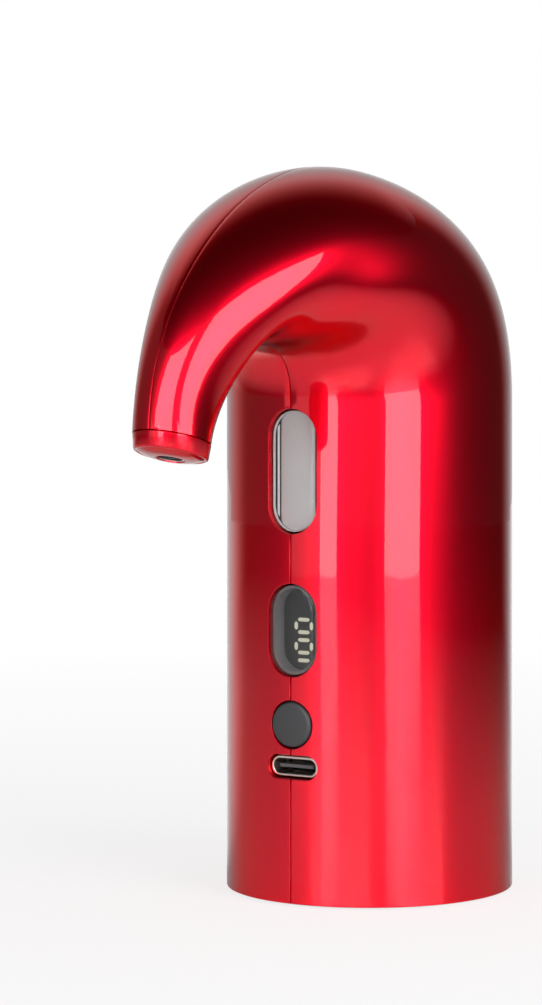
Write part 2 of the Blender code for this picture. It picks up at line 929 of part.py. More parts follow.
def make_display(dark, pale):
    """Numeric display on the board: a block, and a light guide with raised bars."""
    back = board_front - gap
    front = back - module_depth
    half = module_width / 2
    form = bmesh.new()
    add_block(form, (-half, front, module_centre - module_height / 2),
              (half, back, module_centre + module_height / 2))
    piece("display_module", form, dark)
    guide_back = front - gap
    guide_front = guide_back - guide_thickness
    form = bmesh.new()
    add_block(form, (-guide_width / 2, guide_front, module_centre - guide_height / 2),
              (guide_width / 2, guide_back, module_centre + guide_height / 2))
    guide = piece("display_guide", form, pale)
    form = bmesh.new()
    for index in range(digit_count):
        centre = digit_middle + (index - (digit_count - 1) / 2) * digit_pitch
        add_segments(form, centre, guide_front, segment_rise)
    shape_with(guide, "display_bars", form, "UNION")


def make_base(dark, clear_rubber, white):
    """Turned socket that takes the bottle's mouth, its ribbed wall, the seal and the wine inlet."""
    flange_radius = inner_radius - gap
    outer_wall = socket_bore_radius + socket_wall
    plate_bottom = socket_height - socket_plate
    plate_hole = inlet_neck_radius + gap
    lip_radius = socket_bore_radius - socket_lip
    profile = [
        (lip_radius, 0),
        (flange_radius, 0),
        (flange_radius, socket_flange),
        (outer_wall, socket_flange),
        (outer_wall, plate_bottom),
        (flange_radius, plate_bottom),
        (flange_radius, socket_height),
        (plate_hole, socket_height),
        (plate_hole, plate_bottom),
        (socket_bore_radius, plate_bottom),
        (socket_bore_radius, socket_lip_height),
        (lip_radius, socket_lip_height),
    ]
    form = bmesh.new()
    add_turned(form, profile, wide_sides)
    base = piece("bottle_socket", form, dark)
    form = bmesh.new()
    bite = socket_wall / 3
    for index in range(socket_rib_count):
        turn = Matrix.Rotation(2 * math.pi * (index + 0.5) / socket_rib_count, 4, "Z")
        half = socket_rib_width / 2
        near = outer_wall - bite
        far = outer_wall + socket_rib_depth
        outline = [(near, -half), (far, -half), (far, half), (near, half)]
        add_prism(form, outline, socket_flange - bite, plate_bottom + bite, turn)
    shape_with(base, "socket_ribs", form, "UNION")
    form = bmesh.new()
    nipple_frame = Matrix.Translation(pump_axis)
    add_rod(form, nipple_radius, socket_height - bite, socket_height + nipple_length, small_sides,
            nipple_frame)
    shape_with(base, "air_nipple", form, "UNION")
    form = bmesh.new()
    add_rod(form, nipple_bore_radius, plate_bottom - overrun,
            socket_height + nipple_length + overrun, bore_sides, nipple_frame)
    head = base_screw_head_radius * screw_head_height_share
    for place in base_screw_places():
        profile = [
            (0, plate_bottom - overrun),
            (base_screw_head_radius + gap, plate_bottom - overrun),
            (base_screw_head_radius + gap, plate_bottom + head + 2 * gap),
            (base_screw_radius + gap, plate_bottom + head + 2 * gap),
            (base_screw_radius + gap, socket_height + overrun),
            (0, socket_height + overrun),
        ]
        add_turned(form, profile, small_sides, Matrix.Translation(place))
    shape_with(base, "socket_holes", form, "DIFFERENCE")

    seal_outer = socket_bore_radius - gap
    seal_inner = seal_outer - seal_wall
    seal_bottom = socket_lip_height + gap
    seal_top = plate_bottom - gap
    under = seal_top - seal_flange
    fin_room = (under - seal_bottom) / (seal_fin_count + 1)
    profile = [(seal_inner, seal_bottom), (seal_outer, seal_bottom), (seal_outer, seal_top)]
    profile += [(inlet_flange_radius + gap, seal_top), (inlet_flange_radius + gap, under)]
    profile += [(seal_inner, under)]
    for index in range(seal_fin_count):
        level = under - (index + 1) * fin_room
        profile += [(seal_inner, level + seal_fin_height / 2),
                    (seal_inner - seal_fin, level + seal_fin_height / 4),
                    (seal_inner, level - seal_fin_height / 2)]
    form = bmesh.new()
    add_turned(form, profile, seal_sides)
    seal = piece("bottle_seal", form, clear_rubber)
    form = bmesh.new()
    add_rod(form, nipple_radius, under - overrun, seal_top + overrun, bore_sides, nipple_frame)
    shape_with(seal, "seal_air_hole", form, "DIFFERENCE")

    bottom = under + gap
    neck_top = socket_height + inlet_neck_rise
    socket_top = bottom + inlet_socket_depth
    top = neck_top + nipple_length
    profile = [
        (inlet_socket_radius, bottom),
        (inlet_flange_radius, bottom),
        (inlet_flange_radius, seal_top),
        (inlet_neck_radius, seal_top),
        (inlet_neck_radius, neck_top),
        (nipple_radius, neck_top),
        (nipple_radius, top - gap),
        (nipple_radius - gap, top),
        (nipple_bore_radius, top),
        (nipple_bore_radius, socket_top),
        (inlet_socket_radius, socket_top),
    ]
    form = bmesh.new()
    add_turned(form, profile, small_sides)
    piece("wine_inlet", form, white)
    return neck_top


def base_screw_places():
    """Centres of the screws that hold the socket to the inner frame."""
    angles = [math.pi / 2 + 2 * math.pi * index / base_screw_count
              for index in range(base_screw_count)]
    return [Vector((base_screw_circle * math.cos(angle), base_screw_circle * math.sin(angle), 0))
            for angle in angles]


def make_frame(dark):
    """Moulded carrier: a foot, a web with cradles, two rails for the board and a chamber ring."""
    foot_radius = inner_radius - gap
    foot_front = -(board_back + 2 * gap)
    corner = math.acos(foot_front / foot_radius)
    outline = []
    for step in range(foot_steps + 1):
        angle = corner + 2 * (math.pi - corner) * step / foot_steps - math.pi / 2
        outline.append((foot_radius * math.cos(angle), foot_radius * math.sin(angle)))
    form = bmesh.new()
    add_prism(form, outline, foot_bottom, foot_top)
    frame = piece("inner_frame", form, dark)

    form = bmesh.new()
    bite = foot_thickness / 2
    right_edge = frame_screw_side + frame_boss_radius
    add_block(form, (-web_half_width, -web_front, foot_bottom + bite), (right_edge, web_back, web_top))
    shape_with(frame, "frame_web", form, "UNION")

    form = bmesh.new()
    rail_front = board_back + 2 * gap
    for side in (-1, 1):
        inner = side * rail_side - rail_thickness / 2
        add_block(form, (inner, rail_front, foot_bottom + bite),
                  (inner + rail_thickness, web_back - web_thickness / 2, board_top))
    shape_with(frame, "frame_rails", form, "UNION")

    form = bmesh.new()
    bite = web_thickness / 3
    room = pump_radius + 2 * gap + sleeve_wall
    add_block(form, (-(web_half_width - gap), web_back - bite, pump_cradle_bottom),
              (pump_axis.x + room, web_back + cradle_reach, pump_cradle_bottom + pump_cradle_height))
    for bottom in (low_cradle, high_cradle):
        add_block(form, (battery_side - battery_radius - rail_thickness, web_back - bite, bottom),
                  (right_edge - gap, web_back + battery_cradle_reach, bottom + battery_cradle_height))
    shape_with(frame, "frame_cradles", form, "UNION")

    form = bmesh.new()
    for place in base_screw_places():
        add_rod(form, foot_boss_radius, foot_bottom + foot_thickness / 3,
                foot_top + foot_boss_height, small_sides, Matrix.Translation(place))
    shape_with(frame, "foot_bosses", form, "UNION")
    form = bmesh.new()
    for side in (-1, 1):
        for height in board_screw_heights:
            add_rod(form, board_boss_radius, gap, board_screw_length + 2 * gap, small_sides,
                    facing_back(side * board_screw_side, board_back, height))
    shape_with(frame, "board_bosses", form, "UNION")

    form = bmesh.new()
    ring_bottom = chamber_bottom + chamber_ring_share * chamber_height
    ring_top = ring_bottom + chamber_ring_height
    ring_radius = chamber_radius + gap + chamber_ring_wall
    chamber_frame = Matrix.Translation((0, chamber_axis, 0))
    add_rod(form, ring_radius, ring_bottom, ring_top, round_sides, chamber_frame)
    shape_with(frame, "chamber_ring", form, "UNION")
    form = bmesh.new()
    add_block(form, (-chamber_arm_half_width, chamber_axis + chamber_radius + 2 * gap, ring_bottom + gap),
              (chamber_arm_half_width, web_back - bite, ring_top - gap))
    shape_with(frame, "chamber_arm", form, "UNION")

    form = bmesh.new()
    above = web_top + overrun
    below = foot_bottom - overrun
    add_rod(form, chamber_radius + gap, ring_bottom - overrun, ring_top + overrun, round_sides,
            chamber_frame)
    add_block(form, (-door_half_width, -(web_front + overrun), foot_top + gap),
              (door_half_width, web_back + overrun, door_top))
    add_rod(form, inlet_neck_radius + 2 * gap, below, foot_top + gap / 2, small_sides)
    add_rod(form, hose_radius + 2 * gap, below, foot_top + overrun, small_sides,
            Matrix.Translation(pump_axis))
    add_rod(form, room, pump_cradle_bottom - overrun,
            pump_cradle_bottom + pump_cradle_height + overrun, wide_sides, Matrix.Translation(pump_axis))
    add_rod(form, battery_radius + gap, foot_top + 2 * gap, above, round_sides,
            Matrix.Translation(battery_axis))
    for side in (-1, 1):
        for height in board_screw_heights:
            add_rod(form, board_screw_radius + gap, -overrun, board_screw_length + gap, bore_sides,
                    facing_back(side * board_screw_side, board_back + gap, height))
    for place in base_screw_places():
        add_rod(form, base_screw_radius + gap, below, foot_top + foot_boss_height - wall / 2, bore_sides,
                Matrix.Translation(place))
    for height in frame_screw_heights:
        add_rod(form, frame_screw_radius + gap, -overrun, web_thickness + overrun, bore_sides,
                facing_front(frame_screw_side, web_back, height))
    shape_with(frame, "frame_cuts", form, "DIFFERENCE")


def add_screw(form, radius, length, head_radius, frame):
    """Pan-head screw with a pointed end: its head's underside is at the frame's origin."""
    head = head_radius * screw_head_height_share
    profile = [
        (0, -head),
        (head_radius / 2, -head),
        (head_radius, -head / 2),
        (head_radius, 0),
        (radius, 0),
        (radius, length - radius),
        (0, length),
    ]
    add_turned(form, profile, screw_sides, frame)


def make_screws(steel):
    """Screws of the socket, of the inner frame and of the board."""
    seat = socket_height - socket_plate + base_screw_head_radius * screw_head_height_share
    for index, place in enumerate(base_screw_places()):
        form = bmesh.new()
        add_screw(form, base_screw_radius, base_screw_length, base_screw_head_radius,
                  Matrix.Translation(place + Vector((0, 0, seat + gap))))
        piece(f"base_screw_{index + 1}", form, steel)
    for index, height in enumerate(frame_screw_heights):
        form = bmesh.new()
        add_screw(form, frame_screw_radius, frame_screw_length, frame_screw_head_radius,
                  facing_front(frame_screw_side, web_back + gap, height))
        piece(f"frame_screw_{index + 1}", form, steel)
    places = [(side, height) for height in board_screw_heights for side in (-1, 1)]
    for index, (side, height) in enumerate(places):
        form = bmesh.new()
        add_screw(form, board_screw_radius, board_screw_length, board_screw_head_radius,
                  facing_back(side * board_screw_side, board_front - gap, height))
        piece(f"board_screw_{index + 1}", form, steel)


def make_pump(grey, rubber, white):
    """Pump from below: cover with its nipple, valve plate, diaphragm, yoke, crank and housing."""
    frame = Matrix.Translation(pump_axis)
    nipple_bottom = pump_bottom - nipple_length
    roof = pump_cover_top - pump_cover_wall
    profile = [
        (nipple_bore_radius, nipple_bottom),
        (nipple_radius - gap, nipple_bottom),
        (nipple_radius, nipple_bottom + gap),
        (nipple_radius, pump_bottom),
        (pump_radius, pump_bottom),
        (pump_radius, pump_cover_top),
        (pump_chamber_radius, pump_cover_top),
        (pump_chamber_radius, roof),
        (nipple_bore_radius, roof),
    ]
    form = bmesh.new()
    add_turned(form, profile, round_sides, frame)
    piece("pump_cover", form, grey)

    disc_radius = pump_radius - gap
    form = bmesh.new()
    add_rod(form, disc_radius, valve_plate_bottom, valve_plate_bottom + valve_plate_thickness,
            round_sides, frame)
    plate = piece("valve_plate", form, white)
    form = bmesh.new()
    for turn in cup_turns():
        add_rod(form, valve_hole_radius, valve_plate_bottom - overrun,
                valve_plate_bottom + valve_plate_thickness + overrun, bore_sides, frame @ turn)
    shape_with(plate, "valve_holes", form, "DIFFERENCE")

    disc_top = diaphragm_bottom + diaphragm_thickness
    form = bmesh.new()
    add_rod(form, disc_radius, diaphragm_bottom, disc_top, round_sides, frame)
    diaphragm = piece("pump_diaphragm", form, rubber)
    form = bmesh.new()
    cup_top = disc_top + diaphragm_cup_height
    profile = [(0, disc_top - diaphragm_thickness / 3),
               (diaphragm_cup_radius, disc_top - diaphragm_thickness / 3),
               (diaphragm_cup_radius, cup_top), (0, cup_top)]
    for turn in cup_turns():
        add_turned(form, rounded(profile, diaphragm_cup_radius / 3, fillet_steps, (2,)), bore_sides,
                   frame @ turn)
    shape_with(diaphragm, "diaphragm_cups", form, "UNION")

    yoke_bottom = cup_top + gap
    yoke_floor = yoke_bottom + yoke_plate
    yoke_top = yoke_bottom + yoke_rise
    profile = [
        (0, yoke_bottom),
        (yoke_radius, yoke_bottom),
        (yoke_radius, yoke_floor),
        (yoke_cup_radius, yoke_floor),
        (yoke_cup_radius, yoke_top),
        (yoke_cup_bore, yoke_top),
        (yoke_cup_bore, yoke_floor),
        (0, yoke_floor),
    ]
    form = bmesh.new()
    add_turned(form, profile, round_sides, frame)
    piece("pump_yoke", form, white)

    ceiling = head_top - head_wall
    profile = [
        (pump_radius - head_wall, head_bottom),
        (pump_radius, head_bottom),
        (pump_radius, head_top),
        (motor_bush_radius + gap, head_top),
        (motor_bush_radius + gap, ceiling),
        (pump_radius - head_wall, ceiling),
    ]
    form = bmesh.new()
    add_turned(form, profile, round_sides, frame)
    housing = piece("pump_housing", form, grey)
    form = bmesh.new()
    window_bottom = head_bottom + head_wall
    for index in range(cup_count):
        turn = frame @ Matrix.Rotation(2 * math.pi * (index + 0.5) / cup_count, 4, "Z")
        half = head_window_width / 2
        outline = [(pump_chamber_radius, -half), (pump_radius + overrun, -half),
                   (pump_radius + overrun, half), (pump_chamber_radius, half)]
        add_prism(form, outline, window_bottom, window_bottom + head_window_height, turn)
    shape_with(housing, "housing_windows", form, "DIFFERENCE")

    hub_top = ceiling - gap
    hub_bottom = hub_top - hub_height
    shaft_seat = hub_bottom + hub_height / 3
    profile = [
        (0, hub_bottom),
        (hub_radius, hub_bottom),
        (hub_radius, hub_top),
        (shaft_radius + gap, hub_top),
        (shaft_radius + gap, shaft_seat),
        (0, shaft_seat),
    ]
    form = bmesh.new()
    add_turned(form, profile, small_sides, frame)
    hub = piece("crank_hub", form, white, pump_axis + Vector((0, 0, hub_bottom)))
    form = bmesh.new()
    add_rod(form, crank_radius, hub_bottom - crank_length, hub_bottom + hub_height / 5, bore_sides,
            frame @ Matrix.Translation((crank_offset, 0, 0)))
    shape_with(hub, "crank_pin", form, "UNION")
    return shaft_seat + gap


def cup_turns():
    """Places of the pump's cups and valve holes round its axis."""
    return [Matrix.Rotation(2 * math.pi * index / cup_count, 4, "Z")
            @ Matrix.Translation((valve_circle, 0, 0)) for index in range(cup_count)]


def make_motor(steel, dark, copper, rubber, shaft_bottom):
    """Motor: a drawn can, two magnets, a wound rotor on its shaft, and an end bell."""
    frame = Matrix.Translation(pump_axis)
    can_inner = pump_radius - motor_wall
    floor = motor_bottom + motor_end
    bush_bottom = motor_bottom - motor_bush_height
    shaft_hole = shaft_radius + gap
    profile = [
        (shaft_hole, bush_bottom),
        (motor_bush_radius, bush_bottom),
        (motor_bush_radius, motor_bottom),
        (pump_radius, motor_bottom),
        (pump_radius, motor_top),
        (can_inner, motor_top),
        (can_inner, floor),
        (shaft_hole, floor),
    ]
    form = bmesh.new()
    add_turned(form, rounded(profile, motor_wall, fillet_steps, (3,)), round_sides, frame)
    piece("motor_can", form, steel)

    magnet_outer = can_inner - gap
    magnet_inner = magnet_outer - magnet_thickness
    magnet_bottom = floor + (motor_length - motor_end - magnet_length) / 3
    for name, middle in (("motor_magnet_1", 0), ("motor_magnet_2", math.pi)):
        angles = [middle + magnet_half_angle * (2 * step / magnet_steps - 1)
                  for step in range(magnet_steps + 1)]
        outline = [(magnet_outer * math.cos(angle), magnet_outer * math.sin(angle))
                   for angle in angles]
        outline += [(magnet_inner * math.cos(angle), magnet_inner * math.sin(angle))
                    for angle in reversed(angles)]
        form = bmesh.new()
        add_prism(form, outline, magnet_bottom, magnet_bottom + magnet_length, frame)
        piece(name, form, dark)

    core_bottom = magnet_bottom + (magnet_length - core_length) / 2
    core_top = core_bottom + core_length
    core_radius = magnet_inner - gap
    commutator_bottom = core_top + motor_end
    commutator_top = commutator_bottom + commutator_length
    shaft_top = bell_bottom + bell_thickness / 2
    profile = [
        (0, shaft_bottom),
        (shaft_radius, shaft_bottom),
        (shaft_radius, commutator_bottom),
        (commutator_radius, commutator_bottom),
        (commutator_radius, commutator_top),
        (shaft_radius, commutator_top),
        (shaft_radius, shaft_top),
        (0, shaft_top),
    ]
    form = bmesh.new()
    add_turned(form, profile, small_sides, frame)
    rotor = piece("motor_rotor", form, copper, pump_axis + Vector((0, 0, core_bottom)))
    outline = []
    for pole in range(core_pole_count):
        middle = 2 * math.pi * pole / core_pole_count
        arc = [middle + core_pole_half_angle * (2 * step / pole_steps - 1)
               for step in range(pole_steps + 1)]
        under = core_radius - core_pole_tip
        outline += [(core_hub_radius, middle - core_neck_half_angle * 2),
                    (under, middle - core_neck_half_angle), (under, arc[0])]
        outline += [(core_radius, angle) for angle in arc]
        outline += [(under, arc[-1]), (under, middle + core_neck_half_angle),
                    (core_hub_radius, middle + core_neck_half_angle * 2)]
    form = bmesh.new()
    add_prism(form, [(radius * math.cos(angle), radius * math.sin(angle)) for radius, angle in outline],
              core_bottom, core_top, frame)
    shape_with(rotor, "rotor_core", form, "UNION")

    profile = [
        (0, shaft_top + gap),
        (shaft_hole, shaft_top + gap),
        (shaft_hole, bell_bottom),
        (pump_radius, bell_bottom),
        (pump_radius, bell_top),
        (0, bell_top),
    ]
    form = bmesh.new()
    add_turned(form, profile, round_sides, frame)
    bell = piece("motor_end_bell", form, dark)
    form = bmesh.new()
    for side in (-1, 1):
        middle = pump_axis.x + side * terminal_offset
        add_block(form, (middle - terminal_width / 2, pump_back - terminal_thickness / 2,
                         bell_top - bell_thickness / 3),
                  (middle + terminal_width / 2, pump_back + terminal_thickness / 2,
                   bell_top + terminal_height))
    shape_with(bell, "bell_terminals", form, "UNION")

    inner = pump_radius + gap
    outer = inner + sleeve_wall
    bottom = pump_cradle_bottom + (pump_cradle_height - sleeve_height) / 2
    profile = [(inner, bottom), (outer, bottom), (outer, bottom + sleeve_height),
               (inner, bottom + sleeve_height)]
    form = bmesh.new()
    add_turned(form, rounded(profile, sleeve_wall / 3, 1, (1, 2)), round_sides, frame)
    piece("motor_sleeve", form, rubber)


def make_battery(blue, dark):
    """Round lithium cell with a crimp groove, and the protection board on its top."""
    frame = Matrix.Translation(battery_axis)
    groove = battery_top - battery_radius / 3
    profile = [
        (0, battery_bottom),
        (battery_radius, battery_bottom),
        (battery_radius, groove - battery_groove),
        (battery_radius - battery_groove, groove),
        (battery_radius, groove + battery_groove),
        (battery_radius, battery_top),
        (0, battery_top),
    ]
    form = bmesh.new()
    add_turned(form, rounded(profile, battery_edge, fillet_steps, (1, 5)), round_sides, frame)
    piece("battery_cell", form, blue)
    form = bmesh.new()
    add_rod(form, battery_radius - gap, battery_cap_bottom, battery_cap_top, round_sides, frame)
    piece("battery_guard", form, dark)


def make_chamber(clear):
    """Clear chamber: the wine enters through a jet, draws air in and leaves at the top."""
    frame = Matrix.Translation((0, chamber_axis, 0))
    top = chamber_bottom + chamber_height
    jet = chamber_bottom + throat_share * chamber_height
    mixing_bottom = chamber_bottom + mixing_bottom_share * chamber_height
    mixing_top = chamber_bottom + mixing_top_share * chamber_height
    mixing_radius = chamber_radius - chamber_wall
    profile = [
        (nipple_bore_radius, chamber_bottom - nipple_length),
        (nipple_radius - gap, chamber_bottom - nipple_length),
        (nipple_radius, chamber_bottom - nipple_length + gap),
        (nipple_radius, chamber_bottom),
        (chamber_radius, chamber_bottom),
        (chamber_radius, top),
        (nipple_radius, top),
        (nipple_radius, top + nipple_length - gap),
        (nipple_radius - gap, top + nipple_length),
        (nipple_bore_radius, top + nipple_length),
        (nipple_bore_radius, top - chamber_wall),
        (mixing_radius, mixing_top),
        (mixing_radius, mixing_bottom),
        (throat_radius, mixing_bottom),
        (throat_radius, jet),
        (nipple_bore_radius, chamber_bottom),
    ]
    form = bmesh.new()
    add_turned(form, rounded(profile, chamber_wall / 2, fillet_steps, (4, 5)), round_sides, frame)
    chamber = piece("aeration_chamber", form, clear)
    form = bmesh.new()
    add_rod(form, air_hole_radius, -(chamber_radius + overrun), chamber_radius + overrun, bore_sides,
            facing_right(0, chamber_axis, mixing_bottom + 2 * air_hole_radius))
    shape_with(chamber, "air_holes", form, "DIFFERENCE")


def make_hoses(silicone, neck_top, nozzle_shoulder):
    """Wine hose to the chamber, wine hose over the arch, and the short air hose."""
    start = neck_top + gap
    route = [Vector((0, 0, start + rise)) for rise in (0, nipple_length, hose_end)]
    route += [Vector((0, forward * chamber_axis, riser_start + height * (riser_end - riser_start)))
              for forward, height in riser_route_shares]
    route += [Vector((0, chamber_axis, chamber_bottom - drop))
              for drop in (hose_end, nipple_length, gap)]
    form = bmesh.new()
    add_hose(form, smooth_route(route, hose_span_steps))
    piece("riser_hose", form, silicone)

    top = chamber_bottom + chamber_height + gap
    route = [Vector((0, chamber_axis, top + rise)) for rise in (0, nipple_length, hose_end)]
    centres = [arch_section(share)[0] for share in spout_route_shares]
    route += [Vector((0, -centre.x, centre.y)) for centre in centres]
    route += [tip_frame @ Vector((0, 0, nozzle_shoulder + gap + rise))
              for rise in (hose_end, nipple_length, 0)]
    form = bmesh.new()
    add_hose(form, smooth_route(route, hose_span_steps))
    piece("spout_hose", form, silicone)

    form = bmesh.new()
    low = pump_axis + Vector((0, 0, socket_height + gap))
    high = pump_axis + Vector((0, 0, pump_bottom - gap))
    add_hose(form, [low.lerp(high, step / air_hose_steps) for step in range(air_hose_steps + 1)])
    piece("air_hose", form, silicone)


def make_leads(plug_top, red_wire, black_wire):
    """Two leads from the battery and two from the motor, over the web and down to the board."""
    down = board_back + gap + plug_depth / 2
    front = -(web_front + 2 * lead_radius + 2 * gap)
    cross = lead_cross_share * body_radius
    hang = lead_hang_share * body_radius
    first_bend, second_bend = lead_bend_height_shares
    for name, side, start, spread, height in (
        ("battery_lead", 1, battery_axis, lead_pitch / 2, battery_cap_top + 2 * gap),
        ("motor_lead", -1, pump_axis, terminal_offset, bell_top + terminal_height + 2 * gap),
    ):
        for index, wire, offset in ((1, red_wire, -1), (2, black_wire, 1)):
            half = offset * lead_pitch / 2
            over = web_top + 4 * lead_radius
            route = [Vector((start.x + offset * spread, start.y, height + rise))
                     for rise in (0, 2 * lead_radius, 3 * lead_radius)]
            route += [
                Vector((side * cross + half, 0, over + 2 * lead_radius)),
                Vector((side * cross + half, web_back - web_thickness / 3, over + lead_radius)),
                Vector((side * hang + half, front, web_top - 2 * lead_radius)),
                Vector((side * hang + half, front, foot_bottom + first_bend * web_height)),
                Vector((side * hang + half, front - lead_radius,
                        foot_bottom + second_bend * web_height)),
                Vector((side * plug_side + half, down, plug_top + 6 * lead_radius)),
                Vector((side * plug_side + half, down, plug_top + gap)),
            ]
            curve = bpy.data.curves.new(f"{name}_{index}", "CURVE")
            curve.dimensions = "3D"
            curve.bevel_depth = lead_radius
            curve.bevel_resolution = 1
            curve.use_fill_caps = True
            spline = curve.splines.new("POLY")
            points = smooth_route(route, lead_span_steps)
            spline.points.add(len(points) - 1)
            for target, point in zip(spline.points, points):
                target.co = (*point, 1)
            curve.materials.append(wire)
            bpy.context.collection.objects.link(bpy.data.objects.new(curve.name, curve))


for item in list(bpy.data.objects):
    bpy.data.objects.remove(item, do_unlink=True)

casing_red = finish("gloss_red_casing", "#D6001C", 0.12)
dark_grey = finish("dark_grey_abs", "#4E545C", 0.45)
black_plastic = finish("black_moulded_plastic", "#17181B", 0.50)
white_plastic = finish("white_acetal", "#E6E6E2", 0.45)
pale_guide = finish("pale_light_guide", "#D7DCB0", 0.40)
clear_plastic = finish("clear_polycarbonate", "#DDE3E8", 0.05, alpha=0.35)
smoked_plastic = finish("smoked_polycarbonate", "#3A3F46", 0.05, alpha=0.60)
steel = finish("stainless_steel", "#C4C6C8", 0.25, metallic=1.0)
copper = finish("enamelled_copper", "#A8623A", 0.35, metallic=0.8)
silicone = finish("clear_silicone", "#D9DDDD", 0.30, alpha=0.70)
grey_rubber = finish("grey_rubber", "#5A5C60", 0.70)
board_green = finish("green_board", "#1E5A36", 0.40)
battery_blue = finish("blue_battery_wrap", "#2E5FA8", 0.35)
red_wire = finish("red_wire_pvc", "#B01818", 0.40)
black_wire = finish("black_wire_pvc", "#1B1B1D", 0.40)

make_casing(casing_red)
shoulder = make_tip(casing_red, steel)
make_lens("flow_window", flow_window_length, flow_window_centre, clear_plastic)
make_lens("display_window", display_window_length, display_window_centre, smoked_plastic)
make_button(dark_grey)
make_switch(black_plastic, white_plastic)
make_port(steel, black_plastic)
plug_top = make_board(board_green, black_plastic, white_plastic)
make_display(black_plastic, pale_guide)
neck_top = make_base(black_plastic, silicone, white_plastic)
make_frame(black_plastic)
make_screws(steel)
shaft_bottom = make_pump(dark_grey, grey_rubber, white_plastic)
make_motor(steel, black_plastic, copper, grey_rubber, shaft_bottom)
make_battery(battery_blue, board_green)
make_chamber(clear_plastic)
make_hoses(silicone, neck_top, shoulder)
make_leads(plug_top, red_wire, black_wire)
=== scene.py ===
"""Electric wine aerator in candy red lacquer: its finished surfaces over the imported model."""

import json
import math

import bmesh
import bpy
from mathutils import Matrix, Vector

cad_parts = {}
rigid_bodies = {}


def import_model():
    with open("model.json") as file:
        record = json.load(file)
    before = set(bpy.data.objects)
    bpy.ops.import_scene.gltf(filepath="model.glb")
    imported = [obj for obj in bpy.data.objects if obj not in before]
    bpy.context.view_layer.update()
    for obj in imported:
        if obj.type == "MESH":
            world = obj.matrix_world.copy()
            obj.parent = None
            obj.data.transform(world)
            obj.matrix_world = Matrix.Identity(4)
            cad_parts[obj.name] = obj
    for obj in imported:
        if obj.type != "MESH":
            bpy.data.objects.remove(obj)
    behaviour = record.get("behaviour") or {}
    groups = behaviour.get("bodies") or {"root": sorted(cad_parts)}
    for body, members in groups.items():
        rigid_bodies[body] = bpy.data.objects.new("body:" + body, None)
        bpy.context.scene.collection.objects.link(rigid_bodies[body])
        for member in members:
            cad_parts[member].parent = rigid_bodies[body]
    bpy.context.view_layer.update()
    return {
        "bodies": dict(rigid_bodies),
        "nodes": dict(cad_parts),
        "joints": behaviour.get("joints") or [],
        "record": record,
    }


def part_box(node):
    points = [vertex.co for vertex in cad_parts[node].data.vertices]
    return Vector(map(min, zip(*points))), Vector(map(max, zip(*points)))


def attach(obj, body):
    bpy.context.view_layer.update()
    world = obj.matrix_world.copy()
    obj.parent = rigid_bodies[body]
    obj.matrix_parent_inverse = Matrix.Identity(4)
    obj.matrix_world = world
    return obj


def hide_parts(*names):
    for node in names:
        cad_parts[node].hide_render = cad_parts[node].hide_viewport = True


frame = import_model()
nodes = frame["nodes"]
scene = bpy.context.scene
scene.view_settings.view_transform = "Standard"


# Camera
# A long lens, level, at about four fifths of the object's height and a third of a right angle
# round from its front. The shift keeps the body's sides upright, as in the photograph.
image_width_px = 542
image_height_px = 1005
focal_length_px = 3327
body_axis_px = 369.5
eye_level_px = 315.5
sensor_mm = 36
camera_turn = math.radians(32.24)
camera_distance = 0.560
camera_height = 0.0955
camera_data = bpy.data.cameras.new("camera")
camera_data.sensor_width = sensor_mm
camera_data.lens = sensor_mm * focal_length_px / image_height_px
camera_data.shift_x = (image_width_px / 2 - body_axis_px) / image_height_px
camera_data.shift_y = (eye_level_px - image_height_px / 2) / image_height_px
camera = bpy.data.objects.new("camera", camera_data)
camera.location = (camera_distance * math.sin(camera_turn),
                   -camera_distance * math.cos(camera_turn), camera_height)
camera.rotation_euler = (math.pi / 2, 0, camera_turn)
scene.collection.objects.link(camera)
scene.camera = camera


# Light tent
# Two upright softboxes, wider above, stand either side of the camera, with a dim panel beyond the
# left one. Glowing sheets for felt curtains and a velvet ceiling close the tent; their glow is
# painted light, painted paler towards the paper behind.
surround_fill = 0.45


def linear(colour):
    """Linear channels of an sRGB hex colour."""
    channels = [int(colour[index:index + 2], 16) / 255 for index in (1, 3, 5)]
    return [value / 12.92 if value <= 0.04045 else ((value + 0.055) / 1.055) ** 2.4
            for value in channels] + [1]


def add_node(tree, kind, settings={}, links={}):
    """Add a node with its settings and its incoming links."""
    made = tree.nodes.new(kind)
    for name, value in settings.items():
        if isinstance(name, int) or name in made.inputs:
            made.inputs[name].default_value = value
        else:
            setattr(made, name, value)
    for name, output in links.items():
        tree.links.new(output, made.inputs[name])
    return made


def new_material(name):
    """Empty node material and its tree."""
    material = bpy.data.materials.new(name)
    material.use_nodes = True
    material.node_tree.nodes.clear()
    return material, material.node_tree


def seen_directly(tree):
    """Output that is 1 for what the camera, a gloss or a clear piece sees, and 0 otherwise."""
    rays = add_node(tree, "ShaderNodeLightPath")
    seen = add_node(tree, "ShaderNodeMath", {"operation": "MAXIMUM"},
                    {0: rays.outputs["Is Camera Ray"], 1: rays.outputs["Is Glossy Ray"]})
    return add_node(tree, "ShaderNodeMath", {"operation": "MAXIMUM"},
                    {0: seen.outputs[0], 1: rays.outputs["Is Transmission Ray"]}).outputs[0]


world = bpy.data.worlds.new("light_tent")
world.use_nodes = True
tree = world.node_tree
tree.nodes.clear()
level = add_node(tree, "ShaderNodeMapRange", {"To Min": surround_fill, "To Max": 1.0},
                 {"Value": seen_directly(tree)})
sky = add_node(tree, "ShaderNodeBackground", {"Color": linear("#FFFFFF")},
               {"Strength": level.outputs[0]})
add_node(tree, "ShaderNodeOutputWorld", {}, {"Surface": sky.outputs[0]})
scene.world = world


